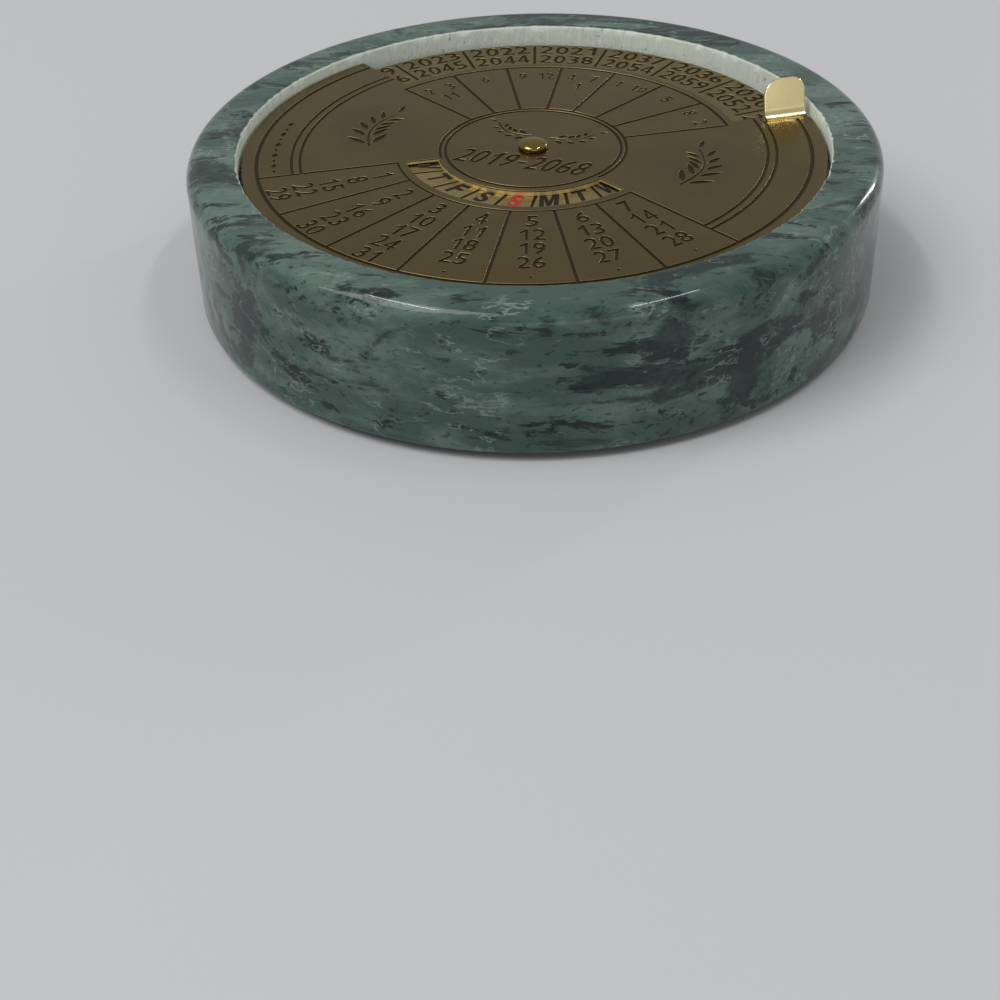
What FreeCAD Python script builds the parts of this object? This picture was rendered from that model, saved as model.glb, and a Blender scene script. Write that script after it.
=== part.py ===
import FreeCAD, Part
import math
import os
import Sketcher

# Perpetual desk calendar: a marble puck with a riveted pair of brass discs in a recess in its top.
# Frame: millimetres, +Z up, origin at the centre of the face that it stands on, reader on the -Y side.
# In the rest pose the upper disc stands as it lies on the desk, half a cell away from the fixed one.

# Driving sizes: name, value, what it is
SIZES = [
    ("marble_diameter", 80.0, "outer diameter of the puck"),
    ("marble_thickness", 16.8, "thickness of the puck"),
    ("marble_top_round", 1.85, "radius on the upper outer edge"),
    ("marble_bottom_round", 0.7, "radius on the lower outer edge"),
    ("marble_wall", 5.85, "width of the stone ring round the recess"),
    ("dial_drop", 1.25, "how far the turning disc lies below the top of the puck"),
    ("felt_thickness", 0.8, "thickness of the felt under the puck"),
    ("felt_margin", 5.0, "bare stone round the felt"),
    ("foam_thickness", 1.2, "thickness of the foam ring under the fixed disc"),
    ("foam_margin", 2.0, "bare brass round the foam ring"),
    ("foam_hole_gap", 0.8, "room round the tail washer in the foam ring"),
    ("disc_thickness", 0.8, "thickness of the fixed disc"),
    ("disc_inset", 1.5, "how far the fixed disc's edge lies inside the turning disc's edge"),
    ("plate_thickness", 0.4, "thickness of the turning disc"),
    ("plate_gap", 0.45, "room between the turning disc and the recess wall"),
    ("plate_edge_round", 0.15, "radius on the turning disc's upper edge"),
    ("spacer_thickness", 0.2, "thickness of the washer between the discs"),
    ("spacer_diameter", 8.0, "diameter of the washer between the discs"),
    ("running_gap", 0.03, "room above and below the turning disc"),
    ("rivet_head_diameter", 3.45, "diameter of the rivet's head"),
    ("rivet_head_height", 0.9, "height of the rivet's head"),
    ("rivet_head_round", 0.75, "radius of the dome on the rivet's head"),
    ("rivet_shank_diameter", 1.8, "diameter of the rivet's shank"),
    ("rivet_tail_diameter", 2.7, "diameter of the clinched tail"),
    ("rivet_tail_height", 0.5, "height of the clinched tail"),
    ("rivet_tail_round", 0.3, "radius on the clinched tail"),
    ("bore_clearance", 0.05, "radial room between the shank and each bore"),
    ("tail_washer_diameter", 5.0, "diameter of the washer under the fixed disc"),
    ("tail_washer_thickness", 0.3, "thickness of the washer under the fixed disc"),
    ("cells_round", 21, "cells in a full turn: three weeks"),
    ("cells_shown", 7, "cells that the window and the opening take in: one week"),
    ("window_depth", 3.75, "height of the weekday window, measured outwards"),
    ("window_hub_gap", 0.33, "metal between the hub's outer line and the window"),
    ("window_frame_width", 0.95, "width of the plain band outside the window"),
    ("opening_depth", 9.3, "how far the opening for the years cuts in from the edge"),
    ("opening_end_land", 2.25, "angle of metal left inside the cells at each end of the opening"),
    ("dial_turn", 17.92, "how far both layouts stand turned clockwise from the reader"),
    ("line_width", 0.36, "width of an etched line"),
    ("line_depth", 0.12, "depth of an etched line"),
    ("hub_line_radius", 10.2, "radius of the inner of the two lines round the hub"),
    ("hub_line_pitch", 0.62, "distance between the two lines round the hub"),
    ("month_line_gap", 0.95, "distance from the opening in to the line that closes the month sectors"),
    ("side_band", 4.0, "distance from the rim's line in to the side panels' outer line"),
    ("side_line_pitch", 1.0, "distance between the two lines in the side panels"),
    ("rim_width", 1.7, "distance from the turning disc's edge in to its rim line"),
    ("rim_line_width", 0.45, "width of the line inside the rim"),
    ("year_line_gap", 1.6, "distance from the opening's inner edge out to the lines between the years"),
    ("year_edge_land", 0.3, "plain metal between those lines and the fixed disc's edge"),
    ("day_line_land", 0.5, "how far the lines between the weekdays pass under the window's edges"),
    ("tab_edge_gap", 0.3, "distance from the turning disc's edge in to the thumb tab"),
    ("tab_width", 5.1, "width of the thumb tab, measured outwards"),
    ("tab_height", 4.75, "height of the thumb tab above the underside of its disc"),
    ("tab_bend_radius", 1.3, "inner radius of the tab's bend"),
    ("tab_setback", 1.5, "distance from the opening's end back to where the bend starts"),
    ("tab_corner_round", 1.8, "radius on the tab's upper corners"),
    ("tab_relief", 0.3, "width of the slit beside the tab"),
]

doc = FreeCAD.newDocument("PerpetualDeskCalendar")
sheet = doc.addObject("Spreadsheet::Sheet", "Sizes")
for row, (alias, amount, note) in enumerate(SIZES, start=1):
    sheet.set(f"A{row}", alias)
    sheet.set(f"B{row}", str(amount))
    sheet.setAlias(f"B{row}", alias)
    sheet.set(f"C{row}", note)
doc.recompute()

# Sizes that follow from the driving ones, as expressions on the sheet
MARBLE_RADIUS = "(Sizes.marble_diameter / 2)"
RECESS_RADIUS = f"({MARBLE_RADIUS} - Sizes.marble_wall)"
PLATE_RADIUS = f"({RECESS_RADIUS} - Sizes.plate_gap)"
DISC_RADIUS = f"({PLATE_RADIUS} - Sizes.disc_inset)"
FELT_RADIUS = f"({MARBLE_RADIUS} - Sizes.felt_margin)"
FOAM_RADIUS = f"({DISC_RADIUS} - Sizes.foam_margin)"
FOAM_HOLE_RADIUS = "(Sizes.tail_washer_diameter / 2 + Sizes.foam_hole_gap)"
BORE_RADIUS = "(Sizes.rivet_shank_diameter / 2 + Sizes.bore_clearance)"

# Heights of the stack above the surface that it stands on
MARBLE_TOP = "(Sizes.felt_thickness + Sizes.marble_thickness)"
PLATE_TOP = f"({MARBLE_TOP} - Sizes.dial_drop)"
PLATE_UNDERSIDE = f"({PLATE_TOP} - Sizes.plate_thickness)"
SPACER_UNDERSIDE = f"({PLATE_UNDERSIDE} - Sizes.running_gap - Sizes.spacer_thickness)"
DISC_UNDERSIDE = f"({SPACER_UNDERSIDE} - Sizes.disc_thickness)"
FOAM_UNDERSIDE = f"({DISC_UNDERSIDE} - Sizes.foam_thickness)"
TAIL_WASHER_UNDERSIDE = f"({DISC_UNDERSIDE} - Sizes.tail_washer_thickness)"
TAIL_UNDERSIDE = f"({TAIL_WASHER_UNDERSIDE} - Sizes.rivet_tail_height)"
RECESS_FLOOR = f"({FOAM_UNDERSIDE} - Sizes.felt_thickness)"
SHANK_LENGTH = f"({PLATE_TOP} + Sizes.running_gap - {TAIL_WASHER_UNDERSIDE})"

# Angles of the layout, counted from +X towards +Y, with the months in the middle of the +Y side
LAYOUT_TURN = "(360 - Sizes.dial_turn)"
CELL = "(360 / Sizes.cells_round)"
WEEK = f"(Sizes.cells_shown * {CELL})"
MONTHS_START = f"(90 - {WEEK} / 2)"
DATES_START = f"(270 - {WEEK} / 2)"
OPENING_START = f"({MONTHS_START} + Sizes.opening_end_land)"
OPENING_SPAN = f"({WEEK} - 2 * Sizes.opening_end_land)"
RIGHT_PANEL_START = f"({DATES_START} + {WEEK})"
LEFT_PANEL_START = f"({MONTHS_START} + {WEEK})"
PANEL_SPAN = f"(180 - {WEEK})"
FULL_TURN = "360"

# Radii of the layout: the hub and the window count outwards, everything else in from the edge
HUB_OUTER_LINE_RADIUS = "(Sizes.hub_line_radius + Sizes.hub_line_pitch)"
WINDOW_INNER_RADIUS = f"({HUB_OUTER_LINE_RADIUS} + Sizes.window_hub_gap)"
WINDOW_OUTER_RADIUS = f"({WINDOW_INNER_RADIUS} + Sizes.window_depth)"
WINDOW_FRAME_RADIUS = f"({WINDOW_OUTER_RADIUS} + Sizes.window_frame_width)"
OPENING_RADIUS = f"({PLATE_RADIUS} - Sizes.opening_depth)"
MONTH_LINE_RADIUS = f"({OPENING_RADIUS} - Sizes.month_line_gap)"
RIM_LINE_RADIUS = f"({PLATE_RADIUS} - Sizes.rim_width)"
SIDE_OUTER_LINE_RADIUS = f"({RIM_LINE_RADIUS} - Sizes.side_band)"
SIDE_INNER_LINE_RADIUS = f"({SIDE_OUTER_LINE_RADIUS} - Sizes.side_line_pitch)"
YEAR_LINE_RADIUS = f"({OPENING_RADIUS} + Sizes.year_line_gap)"
TAB_INNER_RADIUS = f"({PLATE_RADIUS} - Sizes.tab_edge_gap - Sizes.tab_width)"

ORIGIN = -1
H_AXIS = -1
START = 1
LAST = 2
CENTRE = 3


def number(expression):
    """Value of an expression on the sheet as a plain number."""
    return float(sheet.evalExpression(expression))


def new_body(name, underside, turn=None):
    """Body with its own label, lifted to its underside and, for a disc, turned to the layout."""
    body = doc.addObject("PartDesign::Body", name)
    body.Label = name
    doc.recompute()
    body.setExpression("Placement.Base.z", underside)
    if turn:
        body.Placement.Rotation = FreeCAD.Rotation(FreeCAD.Vector(0, 0, 1), 1)
        body.setExpression("Placement.Rotation.Angle", turn)
    return body


def new_sketch(body, name, plane, lift=None, turn=None):
    """Sketch on one of the body's own origin planes, lifted along Z or turned about Z."""
    sketch = body.newObject("Sketcher::SketchObject", name)
    support = [feature for feature in body.Origin.OriginFeatures if feature.Role == plane]
    sketch.AttachmentSupport = [(support[0], "")]
    sketch.MapMode = "FlatFace"
    if lift:
        sketch.setExpression("AttachmentOffset.Base.z", lift)
    if turn:
        upright = FreeCAD.Vector(0, 0, 1) if plane == "XY_Plane" else FreeCAD.Vector(0, 1, 0)
        sketch.AttachmentOffset = FreeCAD.Placement(FreeCAD.Vector(), FreeCAD.Rotation(upright, 1))
        sketch.setExpression("AttachmentOffset.Rotation.Angle", turn)
    return sketch


def hold(sketch, kind, places, expression):
    """Dimension of a sketch that follows an expression on the sheet."""
    index = sketch.addConstraint(Sketcher.Constraint(kind, *places, number(expression)))
    sketch.renameConstraint(index, f"size_{index}")
    sketch.setExpression(f"Constraints.size_{index}", expression)


def draw_circle(sketch, radius):
    """Circle round the origin."""
    centre = FreeCAD.Vector(0, 0, 0)
    circle = sketch.addGeometry(Part.Circle(centre, FreeCAD.Vector(0, 0, 1), number(radius)))
    sketch.addConstraint(Sketcher.Constraint("Coincident", circle, CENTRE, ORIGIN, START))
    hold(sketch, "Radius", (circle,), radius)


def draw_four_sides(sketch, left, right, bottom, top):
    """Upright rectangle with free sizes; returns its lower and its upper side."""
    corners = [(left, bottom), (right, bottom), (right, top), (left, top)]
    points = [FreeCAD.Vector(x, y, 0) for x, y in corners]
    sides = []
    for index, point in enumerate(points):
        following = points[(index + 1) % len(points)]
        sides.append(sketch.addGeometry(Part.LineSegment(point, following)))
    for index, side in enumerate(sides):
        following = sides[(index + 1) % len(sides)]
        sketch.addConstraint(Sketcher.Constraint("Coincident", side, LAST, following, START))
        direction = "Horizontal" if index % 2 == 0 else "Vertical"
        sketch.addConstraint(Sketcher.Constraint(direction, side))
    return sides[0], sides[2]


def draw_rectangle(sketch, x_low, x_high, y_low, y_high):
    """Upright rectangle; y_low of None puts its lower side on the horizontal axis."""
    bottom = number(y_low) if y_low else 0.0
    low_side, high_side = draw_four_sides(
        sketch, number(x_low), number(x_high), bottom, number(y_high))
    hold(sketch, "DistanceX", (ORIGIN, START, low_side, START), x_low)
    hold(sketch, "DistanceX", (ORIGIN, START, low_side, LAST), x_high)
    hold(sketch, "DistanceY", (ORIGIN, START, high_side, START), y_high)
    if y_low:
        hold(sketch, "DistanceY", (ORIGIN, START, low_side, START), y_low)
    else:
        sketch.addConstraint(Sketcher.Constraint("PointOnObject", low_side, START, H_AXIS))


def draw_bar(sketch, x_low, x_high, width):
    """Rectangle along the horizontal axis, the same width to both sides of it."""
    half = number(width) / 2
    low_side, high_side = draw_four_sides(
        sketch, number(x_low), number(x_high), -half, half)
    hold(sketch, "DistanceX", (ORIGIN, START, low_side, START), x_low)
    hold(sketch, "DistanceX", (ORIGIN, START, low_side, LAST), x_high)
    hold(sketch, "DistanceY", (low_side, START, high_side, LAST), width)
    hold(sketch, "DistanceY", (ORIGIN, START, high_side, LAST), f"{width} / 2")


def draw_hanging_rectangle(sketch, x_low, x_high, depth):
    """Rectangle below the horizontal axis, with its upper side on it."""
    low_side, high_side = draw_four_sides(
        sketch, number(x_low), number(x_high), -number(depth), 0.0)
    sketch.addConstraint(Sketcher.Constraint("PointOnObject", high_side, START, H_AXIS))
    hold(sketch, "DistanceX", (ORIGIN, START, low_side, START), x_low)
    hold(sketch, "DistanceX", (ORIGIN, START, low_side, LAST), x_high)
    hold(sketch, "DistanceY", (low_side, START, high_side, LAST), depth)


def pad_disc(body, name, radius, thickness, hole=None, lift=None):
    """Round plate on the XY plane, with a round hole through its middle where one is given."""
    sketch = new_sketch(body, name + "_outline", "XY_Plane", lift=lift)
    draw_circle(sketch, radius)
    if hole:
        draw_circle(sketch, hole)
    pad = body.newObject("PartDesign::Pad", name)
    pad.Profile = sketch
    pad.setExpression("Length", thickness)
    doc.recompute()
    return pad


def cut_ring(body, name, inner, outer, low, high, start=None, span=FULL_TURN):
    """Part of a ring cut out of a body, counter-clockwise from its start angle through its span."""
    before = body.Shape.Volume
    sketch = new_sketch(body, name + "_section", "XZ_Plane", turn=start)
    draw_rectangle(sketch, inner, outer, low, high)
    groove = body.newObject("PartDesign::Groove", name)
    groove.Profile = sketch
    groove.ReferenceAxis = (sketch, ["V_Axis"])
    groove.setExpression("Angle", span)
    doc.recompute()
    if not groove.Shape.Volume < before:
        raise RuntimeError(f"{name} removes nothing")
    return groove


def etch_lines(body, name, inner, outer, surface, start, span, count):
    """Radial lines etched into a surface, spread evenly over a span that starts with a line."""
    before = body.Shape.Volume
    sketch = new_sketch(body, name + "_outline", "XY_Plane", turn=start)
    sketch.setExpression("AttachmentOffset.Base.z", surface)
    draw_bar(sketch, inner, outer, "Sizes.line_width")
    pocket = body.newObject("PartDesign::Pocket", name + "_first")
    pocket.Profile = sketch
    pocket.setExpression("Length", "Sizes.line_depth")
    doc.recompute()
    one_line = before - pocket.Shape.Volume
    pattern = body.newObject("PartDesign::PolarPattern", name)
    pattern.Originals = [pocket]
    axis = [feature for feature in body.Origin.OriginFeatures if feature.Role == "Z_Axis"]
    pattern.Axis = (axis[0], [""])
    pattern.setExpression("Angle", span)
    pattern.setExpression("Occurrences", count)
    body.Tip = pattern
    doc.recompute()
    if not before - body.Shape.Volume > 1.5 * one_line:
        raise RuntimeError(f"{name} is not repeated")
    return pattern


def etch_ring(body, name, radius, width, surface, start=None, span=FULL_TURN):
    """Line etched round the axis, centred on its radius."""
    inner = f"({radius} - {width} / 2)"
    outer = f"({radius} + {width} / 2)"
    low = f"({surface} - Sizes.line_depth)"
    high = f"({surface} + Sizes.line_depth)"
    return cut_ring(body, name, inner, outer, low, high, start=start, span=span)


def edges_where(feature, test):
    """Names of the edges of a feature that pass a test."""
    return [f"Edge{i}" for i, edge in enumerate(feature.Shape.Edges, start=1) if test(edge)]


def is_circle_at(radius, height):
    """Test for a full circle of a radius at a height."""
    def test(edge):
        if not isinstance(edge.Curve, Part.Circle) or len(edge.Vertexes) != 1:
            return False
        same_radius = math.isclose(edge.Curve.Radius, number(radius), abs_tol=1e-6)
        return same_radius and math.isclose(edge.Curve.Center.z, number(height), abs_tol=1e-6)
    return test


def round_edges(body, name, feature, test, radius):
    """Fillet on the edges of a feature that pass a test."""
    fillet = body.newObject("PartDesign::Fillet", name)
    fillet.Base = (feature, edges_where(feature, test))
    fillet.setExpression("Radius", radius)
    doc.recompute()
    return fillet


def make_felt_pad():
    """Thin felt disc that the calendar stands on."""
    body = new_body("felt_pad", "0")
    pad_disc(body, "felt", FELT_RADIUS, "Sizes.felt_thickness")
    return body


def make_marble_body():
    """Stone puck with rounded outer edges and a flat-floored round recess for the dial."""
    body = new_body("marble_body", "Sizes.felt_thickness")
    puck = pad_disc(body, "puck", MARBLE_RADIUS, "Sizes.marble_thickness")
    recess = cut_recess(body)
    top_edge = is_circle_at(MARBLE_RADIUS, "Sizes.marble_thickness")
    rounded = round_edges(body, "top_round", recess, top_edge, "Sizes.marble_top_round")
    bottom_edge = is_circle_at(MARBLE_RADIUS, "0")
    round_edges(body, "bottom_round", rounded, bottom_edge, "Sizes.marble_bottom_round")
    if not body.Shape.Volume < puck.Shape.Volume:
        raise RuntimeError("the puck is still whole")
    return body


def cut_recess(body):
    """Round pocket from the top of the puck down to the floor that carries the foam ring."""
    sketch = new_sketch(body, "recess_outline", "XY_Plane", lift="Sizes.marble_thickness")
    draw_circle(sketch, RECESS_RADIUS)
    recess = body.newObject("PartDesign::Pocket", "recess")
    recess.Profile = sketch
    recess.setExpression("Length", f"Sizes.marble_thickness - {RECESS_FLOOR}")
    doc.recompute()
    return recess


def make_adhesive_pad():
    """Foam ring that bonds the fixed disc to the floor of the recess."""
    body = new_body("adhesive_pad", FOAM_UNDERSIDE)
    pad_disc(body, "foam", FOAM_RADIUS, "Sizes.foam_thickness", hole=FOAM_HOLE_RADIUS)
    return body


def make_year_disc():
    """Fixed disc: cells for the years along its edge and cells for the weekdays round the hub."""
    body = new_body("year_disc", DISC_UNDERSIDE, turn=LAYOUT_TURN)
    surface = "Sizes.disc_thickness"
    pad_disc(body, "disc", DISC_RADIUS, surface, hole=BORE_RADIUS)
    year_end = f"({DISC_RADIUS} - Sizes.year_edge_land)"
    etch_lines(body, "year_lines", YEAR_LINE_RADIUS, year_end, surface,
               "90", FULL_TURN, "Sizes.cells_round")
    day_start = f"({WINDOW_INNER_RADIUS} - Sizes.day_line_land)"
    day_end = f"({WINDOW_OUTER_RADIUS} + Sizes.day_line_land)"
    etch_lines(body, "day_lines", day_start, day_end, surface,
               f"90 + {CELL} / 2", FULL_TURN, "Sizes.cells_round")
    return body


def make_spacer_washer():
    """Washer between the two discs."""
    body = new_body("spacer_washer", SPACER_UNDERSIDE)
    pad_disc(body, "spacer", "Sizes.spacer_diameter / 2", "Sizes.spacer_thickness", hole=BORE_RADIUS)
    return body


def make_tail_washer():
    """Washer under the fixed disc, which the rivet's tail is clinched over."""
    body = new_body("tail_washer", TAIL_WASHER_UNDERSIDE)
    radius = "Sizes.tail_washer_diameter / 2"
    pad_disc(body, "ring", radius, "Sizes.tail_washer_thickness", hole=BORE_RADIUS)
    return body


def make_pivot_rivet():
    """Domed rivet: clinched tail, shank through both discs and both washers, and head."""
    body = new_body("pivot_rivet", TAIL_UNDERSIDE)
    tail_radius = "Sizes.rivet_tail_diameter / 2"
    pad_disc(body, "tail", tail_radius, "Sizes.rivet_tail_height")
    shank_length = f"Sizes.rivet_tail_height + {SHANK_LENGTH}"
    pad_disc(body, "shank", "Sizes.rivet_shank_diameter / 2", shank_length)
    head_radius = "Sizes.rivet_head_diameter / 2"
    head = pad_disc(body, "head", head_radius, "Sizes.rivet_head_height", lift=shank_length)
    head_top = f"{shank_length} + Sizes.rivet_head_height"
    dome = round_edges(body, "dome", head, is_circle_at(head_radius, head_top),
                       "Sizes.rivet_head_round")
    round_edges(body, "tail_edge", dome, is_circle_at(tail_radius, "0"), "Sizes.rivet_tail_round")
    return body


def make_date_plate():
    """Turning disc with its window, its opening, its etched lines and the tab bent up from it."""
    body = new_body("date_plate", PLATE_UNDERSIDE, turn=LAYOUT_TURN)
    surface = "Sizes.plate_thickness"
    plate = pad_disc(body, "plate", PLATE_RADIUS, surface, hole=BORE_RADIUS)
    round_edges(body, "plate_edge", plate, is_circle_at(PLATE_RADIUS, surface),
                "Sizes.plate_edge_round")
    above = f"(2 * {surface})"
    cut_ring(body, "weekday_window", WINDOW_INNER_RADIUS, WINDOW_OUTER_RADIUS, None, above,
             start=DATES_START, span=WEEK)
    outside = f"({PLATE_RADIUS} + Sizes.plate_gap)"
    cut_ring(body, "year_opening", OPENING_RADIUS, outside, None, above,
             start=OPENING_START, span=OPENING_SPAN)
    etch_plate(body, surface)
    add_tab(body, surface)
    return body


def etch_plate(body, surface):
    """Lines on the turning disc: hub, rim, side panels, month sectors and date columns."""
    line = "Sizes.line_width"
    rim_line = "Sizes.rim_line_width"
    past_dates = f"(360 - {WEEK})"
    etch_ring(body, "hub_line", "Sizes.hub_line_radius", line, surface)
    etch_ring(body, "hub_outer_line", HUB_OUTER_LINE_RADIUS, line, surface,
              start=RIGHT_PANEL_START, span=past_dates)
    etch_ring(body, "month_line", MONTH_LINE_RADIUS, line, surface,
              start=MONTHS_START, span=WEEK)
    etch_ring(body, "rim_line", RIM_LINE_RADIUS, rim_line, surface,
              start=f"({OPENING_START} + {OPENING_SPAN})", span=f"(360 - {OPENING_SPAN})")
    for side, start in (("right", RIGHT_PANEL_START), ("left", LEFT_PANEL_START)):
        etch_ring(body, f"{side}_inner_line", SIDE_INNER_LINE_RADIUS, line, surface,
                  start=start, span=PANEL_SPAN)
        etch_ring(body, f"{side}_outer_line", SIDE_OUTER_LINE_RADIUS, line, surface,
                  start=start, span=PANEL_SPAN)
    week_lines = "Sizes.cells_shown + 1"
    etch_lines(body, "month_sector_lines", HUB_OUTER_LINE_RADIUS, MONTH_LINE_RADIUS,
               surface, MONTHS_START, WEEK, week_lines)
    etch_lines(body, "date_column_lines", WINDOW_FRAME_RADIUS, RIM_LINE_RADIUS,
               surface, DATES_START, WEEK, week_lines)


def add_tab(body, surface):
    """Tongue of the disc's own sheet, freed by slits at the opening's end and bent straight up."""
    turn = OPENING_START
    notch = new_sketch(body, "tab_notch_outline", "XY_Plane", turn=turn)
    notch_start = f"({TAB_INNER_RADIUS} - Sizes.tab_relief)"
    notch_end = f"({PLATE_RADIUS} + Sizes.plate_gap)"
    draw_hanging_rectangle(notch, notch_start, notch_end, "Sizes.tab_setback")
    pocket = body.newObject("PartDesign::Pocket", "tab_notch")
    pocket.Profile = notch
    pocket.Reversed = True
    pocket.setExpression("Length", f"2 * {surface}")
    doc.recompute()
    section = new_sketch(body, "tab_section", "YZ_Plane", turn=turn)
    section.setExpression("AttachmentOffset.Base.x", f"{TAB_INNER_RADIUS} * sin({turn})")
    section.setExpression("AttachmentOffset.Base.z", f"{TAB_INNER_RADIUS} * cos({turn})")
    draw_bent_strip(section, surface)
    tab = body.newObject("PartDesign::Pad", "tab")
    tab.Profile = section
    tab.setExpression("Length", "Sizes.tab_width")
    doc.recompute()
    thickness = number(surface)
    height = number("Sizes.tab_height")

    def is_upper_corner(edge):
        at_top = math.isclose(edge.CenterOfMass.z, height, abs_tol=1e-6)
        return at_top and math.isclose(edge.Length, thickness, abs_tol=1e-6)

    round_edges(body, "tab_corners", tab, is_upper_corner, "Sizes.tab_corner_round")


def draw_bent_strip(sketch, thickness):
    """Section of the tab: a quarter bend out of the disc and a straight blade above it."""
    sheet_thickness = number(thickness)
    back = number("Sizes.tab_setback")
    inner = number("Sizes.tab_bend_radius")
    outer = inner + sheet_thickness
    top = number("Sizes.tab_height")
    axis = FreeCAD.Vector(0, 0, 1)
    centre = FreeCAD.Vector(-back, outer, 0)
    quarter = (1.5 * math.pi, 2 * math.pi)
    corner = [
        FreeCAD.Vector(-back, 0, 0),
        FreeCAD.Vector(-back + outer, outer, 0),
        FreeCAD.Vector(-back + outer, top, 0),
        FreeCAD.Vector(-back + inner, top, 0),
        FreeCAD.Vector(-back + inner, outer, 0),
        FreeCAD.Vector(-back, sheet_thickness, 0),
    ]
    outer_arc = sketch.addGeometry(Part.ArcOfCircle(Part.Circle(centre, axis, outer), *quarter))
    outer_face = sketch.addGeometry(Part.LineSegment(corner[1], corner[2]))
    end_face = sketch.addGeometry(Part.LineSegment(corner[2], corner[3]))
    inner_face = sketch.addGeometry(Part.LineSegment(corner[3], corner[4]))
    inner_arc = sketch.addGeometry(Part.ArcOfCircle(Part.Circle(centre, axis, inner), *quarter))
    root_face = sketch.addGeometry(Part.LineSegment(corner[5], corner[0]))
    joints = [
        (outer_arc, LAST, outer_face, START),
        (outer_face, LAST, end_face, START),
        (end_face, LAST, inner_face, START),
        (inner_face, LAST, inner_arc, LAST),
        (inner_arc, START, root_face, START),
        (root_face, LAST, outer_arc, START),
        (inner_arc, CENTRE, outer_arc, CENTRE),
    ]
    for joint in joints:
        sketch.addConstraint(Sketcher.Constraint("Coincident", *joint))
    for upright in (outer_face, inner_face, root_face):
        sketch.addConstraint(Sketcher.Constraint("Vertical", upright))
    sketch.addConstraint(Sketcher.Constraint("Horizontal", end_face))
    sketch.addConstraint(Sketcher.Constraint("Vertical", root_face, LAST, outer_arc, CENTRE))
    sketch.addConstraint(Sketcher.Constraint("Horizontal", outer_arc, CENTRE, outer_arc, LAST))
    sketch.addConstraint(Sketcher.Constraint("Horizontal", inner_arc, CENTRE, inner_arc, LAST))
    sketch.addConstraint(Sketcher.Constraint("PointOnObject", root_face, LAST, H_AXIS))
    hold(sketch, "DistanceX", (root_face, LAST, ORIGIN, START), "Sizes.tab_setback")
    hold(sketch, "Radius", (inner_arc,), "Sizes.tab_bend_radius")
    hold(sketch, "DistanceY", (root_face, LAST, root_face, START), thickness)
    hold(sketch, "DistanceY", (ORIGIN, START, end_face, START), "Sizes.tab_height")


def check_document():
    """Stop with a message if any object failed or was left invalid."""
    for item in doc.Objects:
        if "Invalid" in item.State or "Error" in item.State:
            raise RuntimeError(f"{item.Name} failed: {item.State}")


def check_solid(body):
    """Stop with a message unless a sub-part is one valid solid."""
    shape = body.Shape
    if shape.isNull() or not shape.isValid() or len(shape.Solids) != 1:
        raise RuntimeError(f"{body.Label} is not one valid solid")


sub_parts = [
    make_felt_pad(),
    make_marble_body(),
    make_adhesive_pad(),
    make_year_disc(),
    make_spacer_washer(),
    make_date_plate(),
    make_tail_washer(),
    make_pivot_rivet(),
]
doc.recompute()
check_document()
for sub_part in sub_parts:
    check_solid(sub_part)

os.makedirs("parts", exist_ok=True)
for sub_part in sub_parts:
    sub_part.Shape.exportStep(f"parts/{sub_part.Label}.step")
    box = sub_part.Shape.BoundBox
    print(f"{sub_part.Label}: {sub_part.Shape.Volume:.1f} mm3, z {box.ZMin:.2f} to {box.ZMax:.2f}")
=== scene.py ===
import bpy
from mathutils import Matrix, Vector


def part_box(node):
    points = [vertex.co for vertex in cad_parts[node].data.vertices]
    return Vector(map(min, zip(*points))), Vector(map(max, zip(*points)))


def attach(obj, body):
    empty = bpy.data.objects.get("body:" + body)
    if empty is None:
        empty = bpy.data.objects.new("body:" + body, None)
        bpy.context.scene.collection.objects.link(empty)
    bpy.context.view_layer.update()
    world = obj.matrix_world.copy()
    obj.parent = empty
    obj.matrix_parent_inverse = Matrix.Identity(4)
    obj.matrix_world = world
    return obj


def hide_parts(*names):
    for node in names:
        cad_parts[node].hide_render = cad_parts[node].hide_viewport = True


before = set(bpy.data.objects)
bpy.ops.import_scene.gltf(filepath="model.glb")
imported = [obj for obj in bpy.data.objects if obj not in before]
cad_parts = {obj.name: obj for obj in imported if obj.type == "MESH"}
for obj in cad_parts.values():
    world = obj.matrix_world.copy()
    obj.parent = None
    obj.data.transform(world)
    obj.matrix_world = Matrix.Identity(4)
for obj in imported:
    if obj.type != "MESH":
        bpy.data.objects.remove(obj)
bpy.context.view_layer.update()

import datetime
import functools
import math

import bpy
import numpy as np
from mathutils import Matrix, Vector
from mathutils.geometry import delaunay_2d_cdt

bl_info = {
    "name": "Perpetual desk calendar",
    "version": (1, 0, 0),
    "blender": (4, 5, 0),
    "location": "View3D > Sidebar > Calendar",
    "description": "Marble puck with an etched brass perpetual calendar dial",
    "category": "Add Mesh",
}

MM = 0.001

# Heights and radii read from the parts of model.glb
STONE_LOW, STONE_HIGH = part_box("marble_body")
FELT_LOW, FELT_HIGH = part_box("felt_pad")
FOAM_LOW, FOAM_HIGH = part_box("adhesive_pad")
DISC_LOW, DISC_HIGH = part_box("year_disc")
PLATE_LOW, TAB_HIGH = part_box("date_plate")
RIVET_LOW, RIVET_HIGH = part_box("pivot_rivet")
TAIL_WASHER_LOW, TAIL_WASHER_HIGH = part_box("tail_washer")

# Cells of the layout: three weeks in a full turn, counted from +X towards +Y
CELLS = 21
WEEK = 7
CELL = 360 / CELLS
WEEK_SPAN = WEEK * CELL
MONTHS_START = 90 - WEEK_SPAN / 2
MONTHS_END = 90 + WEEK_SPAN / 2
DATES_START = 270 - WEEK_SPAN / 2
DATES_END = 270 + WEEK_SPAN / 2
WEEKDAYS = "SMTWTFS"
WEEKDAY_SLANT = 0.2
SUNDAY_CELL = 11
FIRST_YEAR = 2019
LAST_YEAR = 2068
YEARS_PER_ROW = 3

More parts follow.
